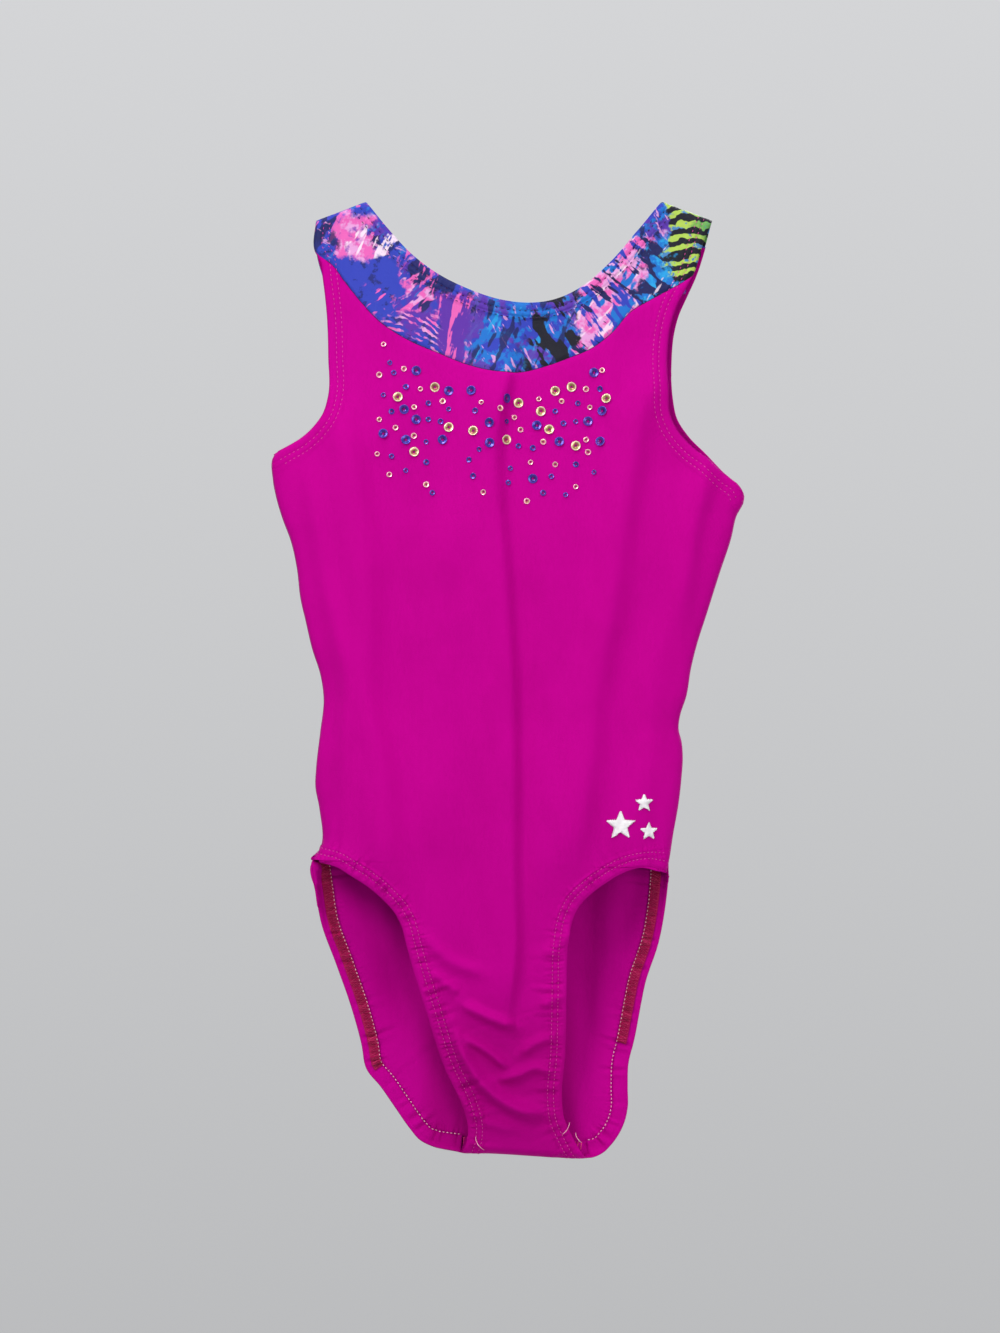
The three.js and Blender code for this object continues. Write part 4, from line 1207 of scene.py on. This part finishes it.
SMALL_BLUE = [(-61, -75), (-59, -80), (-53, -87), (-64, -91), (-42, -95), (-60, -99), (-32, -98),
              (-42, -103), (-36, -104), (-43, -114), (-60, -121), (-43, -124), (-53, -128), (-40, -139),
              (-19, -99), (-17, -118), (-22, -123), (-20, -131), (-4, -104), (2, -116), (9, -117),
              (-2, -127), (-3, -134), (14, -139), (25, -140), (18, -131), (30, -125), (39, -129),
              (20, -99), (24, -105), (30, -104), (31, -95), (42, -88)]
SMALL_ROSE = [(-64, -66), (-54, -78), (-66, -81), (-46, -88), (-49, -97), (-35, -94), (-66, -103),
              (-58, -107), (-49, -111), (-67, -120), (-61, -130), (-43, -135), (-16, -95), (-15, -139),
              (-7, -98), (0, -102), (3, -108), (14, -114), (8, -124), (20, -125), (6, -143), (30, -136),
              (35, -113), (36, -119), (12, -93), (23, -94), (35, -88), (37, -97), (43, -79)]
for label, places, material, slot_name in (("blue", SMALL_BLUE, BLUE, "blue_sequin"),
                                           ("rose", SMALL_ROSE, ROSE, "gold_sequin")):
    discs = []
    for i, (x, z) in enumerate(places):
        seed += 1
        discs.append(sequin(x, z, 1.2 + 0.12 * (i % 3), SMALL_HOLE, SMALL_CUP, seed))
    sequin_piece(f"small_{label}_sequins", discs, material, slot_name)

# ---- embroidered stars
STAR_WAIST = 0.45
SATIN_PITCH, SATIN_THREAD, SHORTEST_SATIN = 0.42, 0.27, 0.5


def star_outline(radius):
    turn = np.arange(10) / 10 * 2 * math.pi + math.pi / 2
    reach = np.where(np.arange(10) % 2 == 0, 1.0, STAR_WAIST) * radius
    return np.stack([np.cos(turn) * reach, np.sin(turn) * reach], axis=1)


def satin(node, lean):
    """Threads laid side by side across a star, each one arched over its padding."""
    middle_x, middle_z, _, half_width = node_middle(node)
    outline = star_outline(half_width / math.cos(math.radians(18)))
    drop = (outline[:, 1].max() + outline[:, 1].min()) / 2
    c, s = math.cos(lean), math.sin(lean)
    spun = outline @ np.array([[c, -s], [s, c]])
    parts = []
    for level_at in np.arange(spun[:, 1].min() + 0.2, spun[:, 1].max(), SATIN_PITCH):
        cuts = []
        for (ax, az), (bx, bz) in zip(spun, np.roll(spun, -1, axis=0)):
            if (az > level_at) != (bz > level_at):
                cuts.append(ax + (bx - ax) * (level_at - az) / (bz - az))
        cuts.sort()
        for start, end in zip(cuts[::2], cuts[1::2]):
            if end - start < SHORTEST_SATIN:
                continue
            share = np.linspace(0, 1, 9)
            local = np.stack([start + (end - start) * share, np.full(9, level_at)], axis=1)
            flat = local @ np.array([[c, s], [-s, c]])
            x, z = flat[:, 0] + middle_x, flat[:, 1] - drop + middle_z
            arch = 0.25 + min(0.75, 0.16 * (end - start)) * np.sin(math.pi * share) ** 0.5
            y = surface(x, z, True) - arch + 0.15
            parts.append(tube(np.stack([x, y, z], axis=1), SATIN_THREAD, taper=0.8))
    return parts


for node, lean in (("large_star", 0.5), ("upper_star", -0.4), ("lower_star", 1.1)):
    piece(f"{node}_satin", satin(node, lean), WHITE, "embroidery", [node])

# Loose ends of thread left at the crotch.
LOOSE_THREAD = 0.16
ends = []
for x, z, length, bend in ((-19, -454, 7, 2.2), (27, -447, 6, -1.8), (30, -452, 5, 1.5)):
    share = np.linspace(0, 1, 9)
    px = x + bend * share * share * 2
    pz = z - length * share
    py = surface(px, pz, True) - 0.3 - 1.1 * np.sin(share * math.pi)
    ends.append(tube(np.stack([px, py, pz], axis=1), LOOSE_THREAD))
piece("loose_thread_ends", ends, BRIGHT, "seam_thread")


# ---- floor, light and air
FLOOR_LEVEL = -1.25
FLOOR_RADIUS, FLOOR_SIDES = 2500.0, 96
turn = np.arange(FLOOR_SIDES) / FLOOR_SIDES * 2 * math.pi
floor_rim = np.stack([np.cos(turn), np.sin(turn), 0 * turn], axis=1) * FLOOR_RADIUS
floor = make_object("pale_floor", floor_rim, [tuple(range(FLOOR_SIDES))], floor_finish(), smooth=False)
floor.location.z = FLOOR_LEVEL

world = bpy.data.worlds.new("studio")
world.use_nodes = True
bpy.context.scene.world = world
AIR_LOW, AIR_HIGH = (0.47, 0.475, 0.485), (0.69, 0.695, 0.71)
AIR_SPAN = 0.35  # the sine of the angle above and below the level where the shades end
air = world.node_tree
way = add_node(air, "ShaderNodeTexCoord")
apart = add_node(air, "ShaderNodeSeparateXYZ", {0: way.outputs["Generated"]})
rise = add_node(air, "ShaderNodeMapRange",
                {"Value": apart.outputs[2], "From Min": -AIR_SPAN, "From Max": AIR_SPAN})
shades = add_node(air, "ShaderNodeMix", {0: rise.outputs[0], 6: AIR_LOW, 7: AIR_HIGH}, data_type="RGBA")
put(air, air.nodes["Background"].inputs["Color"], shades.outputs[2])
LIT_PLACE = Vector((0, 0, -0.2))


def area_light(name, place, size, power):
    lamp = bpy.data.lights.new(name, "AREA")
    lamp.energy, lamp.size = power, size
    obj = bpy.data.objects.new(name, lamp)
    bpy.context.scene.collection.objects.link(obj)
    obj.location = place
    obj.rotation_euler = (LIT_PLACE - obj.location).to_track_quat("-Z", "Y").to_euler()


area_light("key", (-0.65, -0.85, 0.55), 0.45, 10)
area_light("ceiling", (0.15, -0.45, 0.95), 0.6, 5.5)
area_light("fill", (0.7, -1.5, -0.2), 0.8, 9)
area_light("rear", (0.6, 1.4, 0.7), 0.9, 26)
bpy.context.scene.view_settings.view_transform = "Standard"
